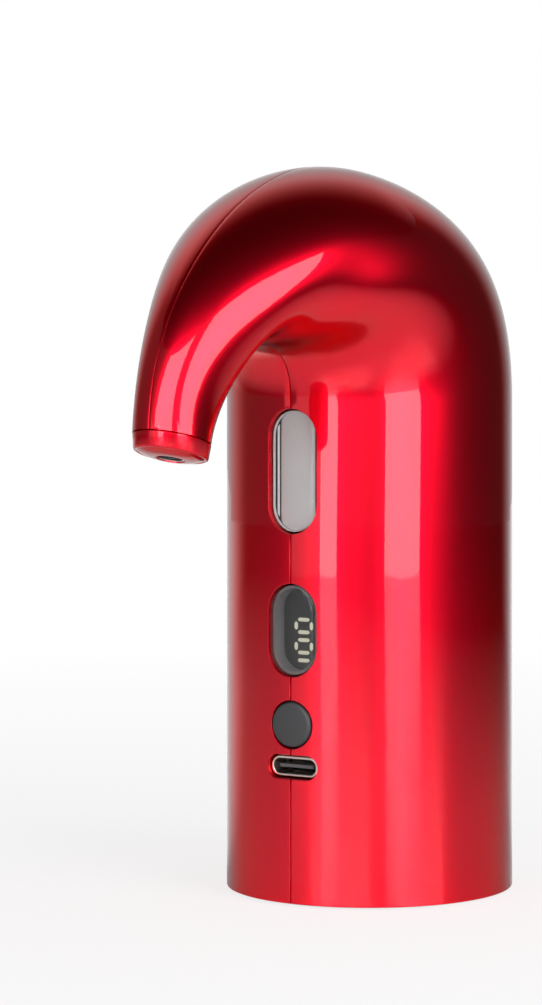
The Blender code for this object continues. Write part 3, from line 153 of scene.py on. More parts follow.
def around(turn_degrees, distance, height):
    """Upright frame at an angle from the camera's side, which faces the object."""
    return (Matrix.Rotation(camera_turn + math.radians(turn_degrees), 4, "Z")
            @ Matrix.Translation((0, -distance, height)) @ Matrix.Rotation(math.pi / 2, 4, "X"))


softbox_distance = 0.70
softbox_height = 0.30
softbox_middle = -0.04
softbox_radiance = 5.8
dim_radiance = 0.75
softbox_lean = math.radians(16)
lean_pivot = 0.05
aside = (softbox_middle - lean_pivot) * math.tan(softbox_lean)
for name, first_degrees, last_degrees, radiance in (
    ("right_softbox", 13, 40, softbox_radiance),
    ("left_softbox", -38, -25, softbox_radiance),
    ("dim_panel", -64, -38, dim_radiance),
):
    half_angle = math.radians(last_degrees - first_degrees) / 2
    lamp_data = bpy.data.lights.new(name, "AREA")
    lamp_data.shape = "RECTANGLE"
    lamp_data.size = 2 * softbox_distance * math.tan(half_angle)
    lamp_data.size_y = softbox_height
    lamp_data.energy = radiance * math.pi * lamp_data.size * lamp_data.size_y
    lamp = bpy.data.objects.new(name, lamp_data)
    lamp.matrix_world = (around((first_degrees + last_degrees) / 2, softbox_distance,
                                softbox_middle)
                         @ Matrix.Translation((aside, 0, 0))
                         @ Matrix.Rotation(-softbox_lean, 4, "Z"))
    scene.collection.objects.link(lamp)

# The curtains and the ceiling are glowing sheets that stand for grey and black felt and black
# velvet.
# Each glows dimly in front, and its glow is painted paler between two depths behind the object, in
# metres, as painted light from the white paper.
paper_aside = math.radians(8)
paper_turn = camera_turn + paper_aside
behind = Vector((-math.sin(paper_turn), math.cos(paper_turn), 0))
tent_glow_sheets = []
for name, dark, paper_light_painted_from, paper_light_painted_to in (("grey_curtain_painted_glow", 0.17, 0.54, 0.98),
                                       ("black_curtain_painted_glow", 0.05, 0.52, 0.92),
                                       ("black_ceiling_painted_glow", 0.01, 0.25, 1.00)):
    material, tree = new_material(name)
    depth = add_node(tree, "ShaderNodeVectorMath", {"operation": "DOT_PRODUCT", 1: behind},
                     {0: add_node(tree, "ShaderNodeTexCoord").outputs["Object"]})
    # Painted light: the sheet's glow is painted paler behind the object, standing in for the
    # paper's light.
    pale = add_node(tree, "ShaderNodeMapRange",
                    {"interpolation_type": "SMOOTHSTEP", "From Min": paper_light_painted_from,
                     "From Max": paper_light_painted_to, "To Min": dark, "To Max": 1.0},
                    {"Value": depth.outputs["Value"]})
    cloth = add_node(tree, "ShaderNodeEmission", {"Color": linear("#FFFFFF")},
                     {"Strength": pale.outputs[0]})
    add_node(tree, "ShaderNodeOutputMaterial", {}, {"Surface": cloth.outputs[0]})
    tent_glow_sheets.append(material)

# The gloss of the casing also mirrors a sheet of acrylic whose colour and glow are painted light:
# a painted pool of light near the object, painted brightness towards the paper behind it, and
# painted dark elsewhere, standing in for the tent.
pool_from = 0.22
pool_to = 0.60
pool_aside = 0.12
pool_middle = Matrix.Rotation(camera_turn, 4, "Z") @ Vector((-pool_aside, 0, 0))
paper_from_share = 0.50
paper_to_share = 0.90
front_glow = 0.10
painted_paper_glow = 0.80
painted_pool_sheet, tree = new_material("acrylic_sheet_painted_pool")
place = add_node(tree, "ShaderNodeTexCoord").outputs["Object"]
away = add_node(tree, "ShaderNodeVectorMath", {"operation": "DISTANCE", 1: pool_middle},
                {0: place})
near = add_node(tree, "ShaderNodeMapRange",
                {"From Min": pool_from, "From Max": pool_to, "To Min": 1.0, "To Max": 0.0},
                {"Value": away.outputs["Value"]})
aim = add_node(tree, "ShaderNodeVectorMath", {"operation": "NORMALIZE"}, {0: place})
depth = add_node(tree, "ShaderNodeVectorMath", {"operation": "DOT_PRODUCT", 1: behind},
                 {0: aim.outputs[0]})
far = add_node(tree, "ShaderNodeMapRange",
               {"interpolation_type": "SMOOTHSTEP", "From Min": paper_from_share,
                "From Max": paper_to_share, "To Min": 0.0, "To Max": 1.0},
               {"Value": depth.outputs["Value"]})
# Painted light: the pool and the paleness behind are mixed into the sheet's colour and into its
# glow.
painted_pool = add_node(tree, "ShaderNodeMath", {"operation": "MAXIMUM"},
                {0: near.outputs[0], 1: far.outputs[0]})
tone = add_node(tree, "ShaderNodeMix",
                {"data_type": "RGBA", 6: linear("#202020"), 7: linear("#F4F4F4")},
                {0: painted_pool.outputs[0]})
painted_glow = add_node(tree, "ShaderNodeMapRange", {"To Min": front_glow, "To Max": painted_paper_glow},
                 {"Value": far.outputs[0]})
acrylic = add_node(tree, "ShaderNodeBsdfPrincipled", {"Roughness": 0.24, "IOR": 1.49},
                   {"Base Color": tone.outputs[2], "Emission Color": tone.outputs[2],
                    "Emission Strength": painted_glow.outputs[0]})
add_node(tree, "ShaderNodeOutputMaterial", {}, {"Surface": acrylic.outputs[0]})


def stage_card(name, rows, material, in_picture=False, lights_matt=False):
    """Sheet of the studio through rows of points, which gloss alone sees unless told otherwise."""
    form = bmesh.new()
    loops = [[form.verts.new(point) for point in row] for row in rows]
    for low, high in zip(loops, loops[1:]):
        for index in range(len(low) - 1):
            form.faces.new((low[index], low[index + 1], high[index + 1], high[index]))
    shape = bpy.data.meshes.new(name)
    form.to_mesh(shape)
    form.free()
    shape.materials.append(material)
    made = bpy.data.objects.new(name, shape)
    scene.collection.objects.link(made)
    made.visible_camera = in_picture
    made.visible_diffuse = in_picture or lights_matt
    made.visible_transmission = in_picture
    made.visible_shadow = in_picture


curtain_distance = 1.0
curtain_height = 1.2
curtain_steps = 40
for name, material, first_degrees, last_degrees in (("left_curtain", tent_glow_sheets[0], -148, 26),
                                                    ("right_curtain", tent_glow_sheets[1], 26, 156)):
    turns = [first_degrees + (last_degrees - first_degrees) * step / curtain_steps
             for step in range(curtain_steps + 1)]
    rows = [[around(turn, curtain_distance, height) @ Vector() for turn in turns]
            for height in (0, curtain_height)]
    stage_card(name, rows, material)

# Above the two softboxes stand wider ones, turned to the right at the top, which the spout
# mirrors. The right one also lights matt surfaces.
top_radiance = 5.2
top_distance = 0.71
top_edge = 0.60
top_steps = 8
softbox_cloth, tree = new_material("white_softbox_cloth")
lit = add_node(tree, "ShaderNodeEmission", {"Color": linear("#FFFFFF"), "Strength": top_radiance})
add_node(tree, "ShaderNodeOutputMaterial", {}, {"Surface": lit.outputs[0]})
for name, low_degrees, high_degrees, lights_matt in (
    ("left_softbox_top", (-48, -1), (-30, 14), False),
    ("right_softbox_top", (20, 59), (27, 66), True),
):
    rows = [[around(first + (last - first) * step / top_steps, top_distance, height) @ Vector()
             for step in range(top_steps + 1)]
            for height, (first, last) in ((softbox_middle + softbox_height / 2, low_degrees),
                                          (top_edge, high_degrees))]
    stage_card(name, rows, softbox_cloth, lights_matt=lights_matt)

ceiling_height = 0.90
ceiling_half_width = 1.6
ceiling_front = -1.0
ceiling_back = 1.05
ceiling_turn = Matrix.Rotation(camera_turn, 4, "Z")
rows = [[ceiling_turn @ Vector((side, depth, ceiling_height))
         for side in (-ceiling_half_width, ceiling_half_width)]
        for depth in (ceiling_front, ceiling_back)]
stage_card("ceiling", rows, tent_glow_sheets[2])


def flat_sheet(size, height):
    """Rows of points of a level square sheet about the object."""
    return [[Vector((side, depth, height)) for side in (-size / 2, size / 2)]
            for depth in (-size / 2, size / 2)]


table_size = 2.2
table_drop = 0.0001
stage_card("acrylic_table", flat_sheet(table_size, -table_drop), painted_pool_sheet)

# The paper keeps the object's shadow and fades to the plain white of the surround.
floor_size = 6.0
floor_drop = 0.0003
shadow_share = 0.22
shadow_from = 0.06
shadow_to = 0.40
paper, tree = new_material("white_paper_sweep")
lit = add_node(tree, "ShaderNodeBsdfDiffuse", {"Color": linear("#FFFFFF")})
glow = add_node(tree, "ShaderNodeEmission", {"Color": linear("#FFFFFF"), "Strength": 1.0})
away = add_node(tree, "ShaderNodeVectorMath", {"operation": "LENGTH"},
                {0: add_node(tree, "ShaderNodeTexCoord").outputs["Object"]})
share = add_node(tree, "ShaderNodeMapRange",
                 {"From Min": shadow_from, "From Max": shadow_to,
                  "To Min": shadow_share, "To Max": 0.0},
                 {"Value": away.outputs["Value"]})
blend = add_node(tree, "ShaderNodeMixShader", {},
                 {0: share.outputs[0], 1: glow.outputs[0], 2: lit.outputs[0]})
cover = add_node(tree, "ShaderNodeMixShader", {},
                 {0: seen_directly(tree), 1: lit.outputs[0], 2: blend.outputs[0]})
add_node(tree, "ShaderNodeOutputMaterial", {}, {"Surface": cover.outputs[0]})
stage_card("paper_floor", flat_sheet(floor_size, -floor_drop), paper, in_picture=True)


# Casing halves
# Two moulded ABS shells, base coated with red metallic paint and clear coated, so that a soft red
# sheen lies under a hard mirror gloss. They meet in an open line down the front and the back.
casing_height = 0.1200
body_radius = 0.0240
casing_wall = 0.0020
shoulder_height = 0.0815
crown_forward = 0.0145
spout_reach = 0.0630
tip_height = 0.0756
tip_radius = 0.0059
tip_tilt = math.radians(16)
collar_angle = math.radians(12)
lip_angle = math.radians(30)
underside_forward = 0.0383
underside_height = 0.0910
arch_width_shares = (1.0, 1.0, 1.016, 0.214)
outer_handle_shares = (0.874, 0.202, 0.492, 0.466)
inner_handle_shares = (0.950, 0.600, 0.826, 0.322)
seam_half_gap = 0.00009
seam_round = 0.00010
rim_round = 0.00025
collar_height = 0.0022
collar_groove = 0.00035
collar_gap = 0.00003
window_width = 0.0093
flow_window_length = 0.0203
display_window_length = 0.0151
port_opening_width = 0.00954
port_opening_height = 0.00386
button_hole_radius = 0.00392
opening_back = 0.0195
opening_round = 0.00018
opening_overrun = 0.0020
fairing = 0.0045
fairing_least = 0.000001
skin_tolerance = 0.00002
outward_least = 0.8
sharp_edge_degrees = 35
ring_steps = 56
body_steps = 24
arch_steps = 72
arch_samples = 480
corner_steps = 12
hole_steps = 64

# A rounded edge has one point between its ends, this share of its radius in from each face.
ease_share = 0.3

# The flake of the base coat is about 0.03 mm across and is drawn at 0.12 mm so that it shows.
flake_mm = 0.12
orange_peel_mm = 2.2
red_lacquer, tree = new_material("candy_red_lacquer_on_abs")
place = add_node(tree, "ShaderNodeTexCoord").outputs["Object"]
flake = add_node(tree, "ShaderNodeTexNoise", {"Scale": 1000 / flake_mm, "Detail": 1.0},
                 {"Vector": place})
sheen = add_node(tree, "ShaderNodeMapRange", {"To Min": 0.26, "To Max": 0.32},
                 {"Value": flake.outputs["Fac"]})
depth = add_node(tree, "ShaderNodeMix",
                 {"data_type": "RGBA", 6: linear("#F00A26"), 7: linear("#FB0C2E")},
                 {0: flake.outputs["Fac"]})
peel = add_node(tree, "ShaderNodeTexNoise", {"Scale": 1000 / orange_peel_mm, "Detail": 2.0},
                {"Vector": place})
skin_bump = add_node(tree, "ShaderNodeBump", {"Strength": 0.015, "Distance": 0.0001},
                     {"Height": peel.outputs["Fac"]})
coat = add_node(tree, "ShaderNodeBsdfPrincipled",
                {"Metallic": 0.99, "Specular Tint": linear("#200000"),
                 "Coat Weight": 0.72, "Coat Roughness": 0.02, "Coat IOR": 1.5},
                {"Base Color": depth.outputs[2], "Roughness": sheen.outputs[0],
                 "Normal": skin_bump.outputs[0], "Coat Normal": skin_bump.outputs[0]})
add_node(tree, "ShaderNodeOutputMaterial", {}, {"Surface": coat.outputs[0]})


def finished(name, form, material, body, node=None, sharp_degrees=sharp_edge_degrees):
    """Turn a bmesh into a piece that rides a body and may stand for a node of the model."""
    bmesh.ops.recalc_face_normals(form, faces=form.faces)
    shape = bpy.data.meshes.new(name)
    form.to_mesh(shape)
    form.free()
    shape.shade_smooth()
    shape.set_sharp_from_angle(angle=math.radians(sharp_degrees))
    made = bpy.data.objects.new(name, shape)
    if material:
        shape.materials.append(material)
    scene.collection.objects.link(made)
    if body:
        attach(made, body)
    if node:
        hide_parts(node)
    return made


def add_stack(form, rings, closed=False):
    """Skin rings of equal point counts, with a cap at each end unless they close on themselves."""
    loops = [[form.verts.new(point) for point in ring] for ring in rings]
    count = len(loops[0])
    following = loops[1:] + loops[:1] if closed else loops[1:]
    for low, high in zip(loops, following):
        for index in range(count):
            after = (index + 1) % count
            form.faces.new((low[index], low[after], high[after], high[index]))
    if not closed:
        form.faces.new(loops[0])
        form.faces.new(loops[-1])


def stadium(width, height, steps):
    """Outline with two straight sides, divided, and two half-round ends."""
    radius = min(width, height) / 2
    across = width / 2 - radius
    up = height / 2 - radius
    start = 0 if height > width else -math.pi / 2
    points = []
    for side in (1, -1):
        for step in range(2 * steps + 1):
            angle = start + math.pi * step / (2 * steps) + (0 if side > 0 else math.pi)
            points.append((side * across + radius * math.cos(angle),
                           side * up + radius * math.sin(angle)))
        ahead = (-side * across + radius * math.cos(angle), -side * up + radius * math.sin(angle))
        last = points[-1]
        if across + up > 0:
            for step in range(1, steps):
                share = step / steps
                points.append((last[0] + (ahead[0] - last[0]) * share,
                               last[1] + (ahead[1] - last[1]) * share))
    return points


def bent_rings(width, height, centre, profile):
    """Rings of a stadium wrapped on the casing, one for each (inset, distance from the axis)."""
    rings = []
    for inset, reach in profile:
        outline = stadium(width - 2 * inset, height - 2 * inset, corner_steps)
        rings.append([Vector((u, -math.sqrt(reach ** 2 - u ** 2), centre + v))
                      for u, v in outline])
    return rings


def round_rings(radius, centre, profile):
    """Rings of a round hole in the casing, one for each (inset, distance from the axis)."""
    rings = []
    for inset, reach in profile:
        outline = [((radius - inset) * math.cos(angle), (radius - inset) * math.sin(angle))
                   for angle in [2 * math.pi * step / hole_steps for step in range(hole_steps)]]
        rings.append([Vector((u, -math.sqrt(reach ** 2 - u ** 2), centre + v))
                      for u, v in outline])
    return rings


def bezier(points, t):
    """Point on a cubic curve."""
    a, b, c, d = [Vector(point) for point in points]
    s = 1 - t
    return a * s ** 3 + b * (3 * s * s * t) + c * (3 * s * t * t) + d * t ** 3


def arch_outlines():
    """Outer and inner outline of the arch in (forward, height), each as two cubic curves."""
    along = Vector((math.cos(tip_tilt), math.sin(tip_tilt)))
    out = Vector((math.sin(tip_tilt), -math.cos(tip_tilt)))
    down = Vector((0, -1))
    side = Vector((math.sin(collar_angle), -math.cos(collar_angle)))
    lip = Vector((math.sin(lip_angle), -math.cos(lip_angle)))
    tip_outer = Vector((spout_reach, tip_height))
    tip_inner = tip_outer - along * (2 * tip_radius)
    back = collar_height + collar_groove
    outer_end = tip_outer - down * (back / down.dot(out))
    inner_end = tip_inner - side * (back / side.dot(out))
    crown = Vector((crown_forward, casing_height))
    under = Vector((underside_forward, underside_height))
    rise = casing_height - shoulder_height
    up_share, back_share, ahead_share, end_share = outer_handle_shares
    outer = (
        ((-body_radius, shoulder_height), (-body_radius, shoulder_height + up_share * rise),
         (crown.x - back_share * (crown.x + body_radius), crown.y), crown),
        (crown, (crown.x + ahead_share * (spout_reach - crown.x), crown.y),
         outer_end - down * (end_share * (casing_height - tip_height)), outer_end),
    )
    up_share, back_share, ahead_share, end_share = inner_handle_shares
    inner = (
        ((body_radius, shoulder_height),
         (body_radius, shoulder_height + up_share * (under.y - shoulder_height)),
         (under.x - back_share * (under.x - body_radius), under.y), under),
        (under, (under.x + ahead_share * (inner_end.x - under.x), under.y),
         inner_end - lip * (end_share * (under.y - tip_inner.y)), inner_end),
    )
    return outer, inner


def measured(curves):
    """Points along an outline, each with its share of the length and of the curves' way."""
    shares = [index / arch_samples for index in range(arch_samples + 1)]
    points = [bezier(curves[0], 2 * share) if share < 0.5 else bezier(curves[1], 2 * share - 1)
              for share in shares]
    lengths = [0.0]
    for before, after in zip(points, points[1:]):
        lengths.append(lengths[-1] + (after - before).length)
    return [(length / lengths[-1], share, point)
            for length, share, point in zip(lengths, shares, points)]


def at_length(outline, step):
    """Share of the way and point where an outline meets a section of the arch."""
    middle = outline[arch_samples // 2][0]
    way = step / arch_steps
    fraction = way + 4 * (middle - 0.5) * way * (1 - way)
    for (low, first, start), (high, last, end) in zip(outline, outline[1:]):
        if fraction <= high:
            part = (fraction - low) / (high - low)
            return first + (last - first) * part, start.lerp(end, part)
    return outline[-1][1:]


def casing_sections():
    """Sections (centre, direction, half depth, half width) up the body and over the arch."""
    front = Vector((1, 0))
    sections = []
    foot_ease = rim_round * ease_share
    for height, inset in ((0, rim_round), (foot_ease, foot_ease), (rim_round, 0)):
        sections.append((Vector((0, height)), front, body_radius - inset, body_radius - inset))
    for step in range(1, body_steps):
        height = shoulder_height * step / body_steps
        sections.append((Vector((0, height)), front, body_radius, body_radius))
    outer, inner = [measured(curves) for curves in arch_outlines()]
    far = [at_length(outer, step) for step in range(arch_steps + 1)]
    near = [at_length(inner, step) for step in range(arch_steps + 1)]
    end_radius = (far[-1][1] - near[-1][1]).length / 2
    marks = [body_radius * value for value in arch_width_shares] + [end_radius]
    degree = len(marks) - 1
    widths = [sum(value * math.comb(degree, index) * share ** index
                  * (1 - share) ** (degree - index) for index, value in enumerate(marks))
              for share, _ in far]
    centres = [(a + b) / 2 for (_, a), (_, b) in zip(far, near)]
    for step in range(arch_steps + 1):
        spread = fairing * math.sin(math.pi * step / arch_steps) + fairing_least
        weights = [math.exp(-0.5 * ((centre - centres[step]).length / spread) ** 2)
                   for centre in centres]
        width = sum(a * b for a, b in zip(weights, widths)) / sum(weights)
        across = near[step][1] - far[step][1]
        sections.append((centres[step], across.normalized(), across.length / 2, width))
    return sections


def half_ring(section, side):
    """One C-shaped section of a casing half, with its edges eased along the seam."""
    centre, forward, depth, width = section
    tightness = width / body_radius
    gap = seam_half_gap * tightness
    easing = seam_round * tightness

    def spot(inset, angle):
        flat = centre + forward * ((depth - inset) * math.cos(angle))
        return Vector((side * (width - inset) * math.sin(angle), -flat.x, flat.y))

    def skin(inset, edge):
        first = math.asin(edge / (width - inset))
        return [spot(inset, first + (math.pi - 2 * first) * step / ring_steps)
                for step in range(ring_steps + 1)]

    def eased(inset, edge, at_front):
        angle = math.asin(edge / (width - inset))
        return spot(inset, angle if at_front else math.pi - angle)

    outer = skin(0, gap + easing)
    inner = skin(casing_wall, gap)[::-1]
    corner = easing * ease_share
    front = [eased(easing, gap, True), eased(corner, gap + corner, True)]
    back = [eased(corner, gap + corner, False), eased(easing, gap, False)]
    return front + outer + back + inner


flow_low, flow_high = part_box("flow_window")
display_low, display_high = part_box("display_window")
button_low, button_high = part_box("power_button")
port_low, port_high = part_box("port_shell")
flow_centre = (flow_low.z + flow_high.z) / 2
display_centre = (display_low.z + display_high.z) / 2
button_centre = (button_low.z + button_high.z) / 2
port_centre = (port_low.z + port_high.z) / 2
eased_edge = [(0, opening_back), (0, body_radius - opening_round),
              (-ease_share * opening_round, body_radius - ease_share * opening_round),
              (-opening_round, body_radius), (-opening_round, body_radius + opening_overrun)]
openings = bmesh.new()
for width, height, centre in (
    (window_width, flow_window_length, flow_centre),
    (window_width, display_window_length, display_centre),
    (port_opening_width, port_opening_height, port_centre),
):
    add_stack(openings, bent_rings(width, height, centre, eased_edge))
add_stack(openings, round_rings(button_hole_radius, button_centre, eased_edge))
cutter = finished("front_openings", openings, None, None)
sections = casing_sections()
for name, side in (("left_shell", -1), ("right_shell", 1)):
    form = bmesh.new()
    add_stack(form, [half_ring(section, side) for section in sections])
    shell = finished("lacquered_" + name, form, red_lacquer, None)
    cut = shell.modifiers.new("openings", "BOOLEAN")
    cut.operation = "DIFFERENCE"
    cut.solver = "EXACT"
    cut.object = cutter
    bpy.context.view_layer.update()
    settled = bpy.data.meshes.new_from_object(
        shell.evaluated_get(bpy.context.evaluated_depsgraph_get()))
    shell.modifiers.clear()
    shell.data = settled
    settled.shade_smooth()
    settled.set_sharp_from_angle(angle=math.radians(sharp_edge_degrees))
    # The cuts leave slivers in the skin, so the body keeps the normals of a true cylinder.
    normals = [Vector(corner.vector) for corner in settled.corner_normals]
    for corner in settled.loops:
        spot = settled.vertices[corner.vertex_index].co
        outward = Vector((spot.x, spot.y, 0))
        off_skin = abs(outward.length - body_radius)
        on_body = spot.z < shoulder_height and off_skin < skin_tolerance
        if on_body and normals[corner.index].dot(outward.normalized()) > outward_least:
            normals[corner.index] = outward.normalized()
    settled.normals_split_custom_set(normals)
    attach(shell, "casing")
    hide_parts(name)
bpy.data.objects.remove(cutter)


# Spout collar and outlet
# The collar is a turned ring in the casing's lacquer, glued to the spout's mouth behind a fine
# groove. The outlet in its domed end is a drawn stainless tube.
collar_rim = 0.0006
collar_edge = 0.0003
groove_bevel = 0.0002
nose_drop = 0.0006
nose_depth = 0.0007
spigot_wall = 0.0013
spigot_length = 0.0058
spigot_clearance = 0.0003
outlet_radius = 0.00225
outlet_wall = 0.00025
outlet_clearance = 0.00005
outlet_inset = 0.00015
outlet_end = 0.0085
outlet_lip = 0.00008
nose_steps = 8
turn_steps = 72
tip_frame = (Matrix.Translation((0, -(spout_reach - tip_radius * math.cos(tip_tilt)),
                                 tip_height - tip_radius * math.sin(tip_tilt)))
             @ Matrix.Rotation(-tip_tilt, 4, "X"))


def turned(profile, steps, frame=Matrix()):
    """Turn a closed profile of (radius, height) points about the frame's Z axis."""
    form = bmesh.new()
    loops = []
    for radius, height in profile:
        angles = [2 * math.pi * step / steps for step in range(steps if radius > 0 else 1)]
        loops.append([form.verts.new(frame @ Vector((radius * math.cos(angle),
                                                     radius * math.sin(angle), height)))
                      for angle in angles])
    for low, high in zip(loops, loops[1:] + loops[:1]):
        if len(low) == 1 and len(high) == 1:
            continue
        for index in range(steps):
            after = (index + 1) % steps
            corners = [low[index % len(low)], low[after % len(low)],
                       high[after % len(high)], high[index % len(high)]]
            form.faces.new(list(dict.fromkeys(corners)))
    return form


lean = tip_radius + collar_height * math.tan(tip_tilt)
near = tip_radius + collar_height * math.tan(collar_angle - tip_tilt)
shift = (lean - near) / 2
spigot_radius = sections[-1][3] - casing_wall - spigot_clearance
top = collar_height + collar_groove - collar_gap
spigot_bore = spigot_radius - spigot_wall
rim_inner = tip_radius - collar_rim
edge_ease = ease_share * collar_edge
nose_bore = outlet_radius + outlet_clearance
nose = [(nose_bore + (rim_inner - nose_bore) * step / nose_steps,
         edge_ease - (edge_ease + nose_drop) * (1 - (step / nose_steps) ** 2))
        for step in range(nose_steps)]
form = turned([
    (spigot_bore, nose_depth),
    (nose_bore, nose_depth),
    *nose,
    (rim_inner, edge_ease),
    (rim_inner + collar_edge / 2, 0),
    (tip_radius - collar_edge, 0),
    (tip_radius - edge_ease, edge_ease),
    (tip_radius, collar_edge),
    ((lean + near) / 2, top - groove_bevel),
    ((lean + near) / 2 - groove_bevel, top),
    (spigot_radius, top),
    (spigot_radius, collar_height + spigot_length),
    (spigot_bore, collar_height + spigot_length),
], turn_steps)
for vertex in form.verts:
    vertex.co.y -= shift * min(vertex.co.z / top, 1)
bmesh.ops.transform(form, matrix=tip_frame, verts=form.verts)
finished("lacquered_collar", form, red_lacquer, "casing", "spout_collar", 50)

# Drawn stainless steel: bright, with faint lines along the tube. The lines are drawn 0.2 mm apart.
draw_line_mm = 0.2
draw_line_stretch = 0.05
dull_step = 0.15


def drawn_steel(name, colour, roughness):
    """Bright steel with faint drawing lines in its roughness."""
    material, tree = new_material(name)
    place = add_node(tree, "ShaderNodeTexCoord").outputs["Object"]
    along = add_node(tree, "ShaderNodeMapping", {"Scale": (1, 1, draw_line_stretch)},
                     {"Vector": place})
    lines = add_node(tree, "ShaderNodeTexNoise", {"Scale": 1000 / draw_line_mm, "Detail": 3.0},
                     {"Vector": along.outputs[0]})
    polish = add_node(tree, "ShaderNodeMapRange",
                      {"To Min": roughness, "To Max": roughness + dull_step},
                      {"Value": lines.outputs["Fac"]})
    metal = add_node(tree, "ShaderNodeBsdfPrincipled",
                     {"Base Color": linear(colour), "Metallic": 1.0},
                     {"Roughness": polish.outputs[0]})
    add_node(tree, "ShaderNodeOutputMaterial", {}, {"Surface": metal.outputs[0]})
    return material


def dress(names, material):
    """Give nodes of the model their finish."""
    for name in names:
        nodes[name].data.materials.clear()
        nodes[name].data.materials.append(material)


stainless = drawn_steel("drawn_stainless_steel", "#C8CACC", 0.16)
outlet_start = outlet_inset - nose_drop
outlet_bore = outlet_radius - outlet_wall
form = turned([
    (outlet_bore, outlet_start + outlet_lip), (outlet_bore + outlet_lip, outlet_start),
    (outlet_radius - outlet_lip, outlet_start), (outlet_radius, outlet_start + outlet_lip),
    (outlet_radius, outlet_end), (outlet_bore, outlet_end),
], turn_steps, tip_frame)
finished("stainless_outlet", form, stainless, "casing", "outlet_nozzle")
dress(["motor_can"] + [name for name in nodes if "_screw_" in name], stainless)


# Windows
# Each window is a thin moulded lens. The upper one is clear, over a silvered rim and plate in a
# tray painted near black as the shade of its recess; the lower one is smoked, over the deep grey
# well of the display.
lens_gap = 0.0003
seat_gap = 0.00002
centre_gap = 0.00005
lens_recess = 0.0001
lens_round = 0.00030
lens_thickness = 0.0009
lens_shelf = 0.0005
well_wall = 0.0004
tray_wall = 0.00015
rim_depth = 0.0005
tray_floor = 0.0003
plate_depth = 0.0021
plate_thickness = 0.0004
plate_bevel = 0.0003
strip_edges = ((-0.00415, -0.00365), (-0.00330, 0.00330), (0.00365, 0.00415))
strip_steps = 12
lens_back_steps = 5
face_steps = 6
opening_width = window_width - 2 * lens_gap
mould_wave_mm = 4.0


def lens_plastic(name, colour, opacity):
    """Clear moulded plastic: hard gloss, see-through, with faint flow waves from the mould."""
    material, tree = new_material(name)
    place = add_node(tree, "ShaderNodeTexCoord").outputs["Object"]
    waves = add_node(tree, "ShaderNodeTexNoise", {"Scale": 1000 / mould_wave_mm, "Detail": 1.0},
                     {"Vector": place})
    relief = add_node(tree, "ShaderNodeBump", {"Strength": 0.02, "Distance": 0.0002},
                      {"Height": waves.outputs["Fac"]})
    plastic = add_node(tree, "ShaderNodeBsdfPrincipled",
                       {"Base Color": linear(colour), "Roughness": 0.04, "IOR": 1.58,
                        "Alpha": opacity},
                       {"Normal": relief.outputs[0]})
    add_node(tree, "ShaderNodeOutputMaterial", {}, {"Surface": plastic.outputs[0]})
    return material


def moulded_plastic(name, colour, roughness, grain_mm, metallic=0.0):
    """Moulded plastic: satin, with the fine spark-eroded grain that the mould leaves."""
    material, tree = new_material(name)
    place = add_node(tree, "ShaderNodeTexCoord").outputs["Object"]
    grain = add_node(tree, "ShaderNodeTexNoise", {"Scale": 1000 / grain_mm, "Detail": 3.0},
                     {"Vector": place})
    relief = add_node(tree, "ShaderNodeBump", {"Strength": 0.12, "Distance": 0.00003},
                      {"Height": grain.outputs["Fac"]})
    satin = add_node(tree, "ShaderNodeMapRange",
                     {"To Min": roughness - 0.05, "To Max": roughness + 0.07},
                     {"Value": grain.outputs["Fac"]})
    plastic = add_node(tree, "ShaderNodeBsdfPrincipled",
                       {"Base Color": linear(colour), "IOR": 1.5, "Metallic": metallic},
                       {"Roughness": satin.outputs[0], "Normal": relief.outputs[0]})
    add_node(tree, "ShaderNodeOutputMaterial", {}, {"Surface": plastic.outputs[0]})
    return material


def domed_slab(width, height, centre, front, back, edge):
    """Closed slab bent to the casing's curve, with its front edge rounded over."""
    middle = width / 2 - centre_gap
    profile = [(middle - (middle - edge) * step / lens_back_steps, back)
               for step in range(lens_back_steps)]
    profile += [(0, back), (0, front - edge), (ease_share * edge, front - ease_share * edge)]
    profile += [(edge + (middle - edge) * step / face_steps, front)
                for step in range(face_steps + 1)]
    form = bmesh.new()
    add_stack(form, bent_rings(width, height, centre, profile))
    return form


def bent_strip(form, first, last, height, centre, front, back, bevel):
    """Upright strip between two side lines of a stadium window, bent to the casing's curve."""
    columns = []
    for step in range(strip_steps + 1):
        u = first + (last - first) * step / strip_steps
        radius = opening_width / 2 - tray_wall
        reach = height / 2 - radius + math.sqrt(max(radius ** 2 - u ** 2, 0))
        edge = min(abs(u - first), abs(last - u))
        face = front - max(bevel - edge, 0)
        columns.append([Vector((u, -math.sqrt(skin ** 2 - u ** 2), centre + end * reach))
                        for skin, end in ((face, 1), (face, -1), (back, -1), (back, 1))])
    add_stack(form, columns)


# The rim and plate are a pale satin silver, the tray is painted near black as shade in the
# window's recess, and the well is a light grey that the smoked lens darkens.
clear_lens = lens_plastic("clear_polycarbonate", "#4A4C4E", 0.12)
smoked_lens = lens_plastic("smoked_polycarbonate", "#484A4C", 0.32)
silver_plate = moulded_plastic("silvered_abs", "#F0F4F4", 0.36, 0.60, 0.10)
tray_painted_shade = moulded_plastic("abs_tray_painted_shade", "#2A2828", 0.30, 0.35)
well_grey = moulded_plastic("grey_moulded_abs", "#CCCED0", 0.34, 0.35)
lens_face = body_radius - lens_recess
lens_back = lens_face - lens_thickness
seat = lens_back - seat_gap
guide_low, guide_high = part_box("display_guide")
for node, length, centre, lens, slot in (
    ("flow_window", flow_window_length, flow_centre, clear_lens, "clear_plastic"),
    ("display_window", display_window_length, display_centre, smoked_lens, "smoked_plastic"),
):
    form = domed_slab(opening_width, length - 2 * lens_gap, centre, lens_face, lens_back,
                      lens_round)
    finished(node + "_lens", form, lens, "casing", node)
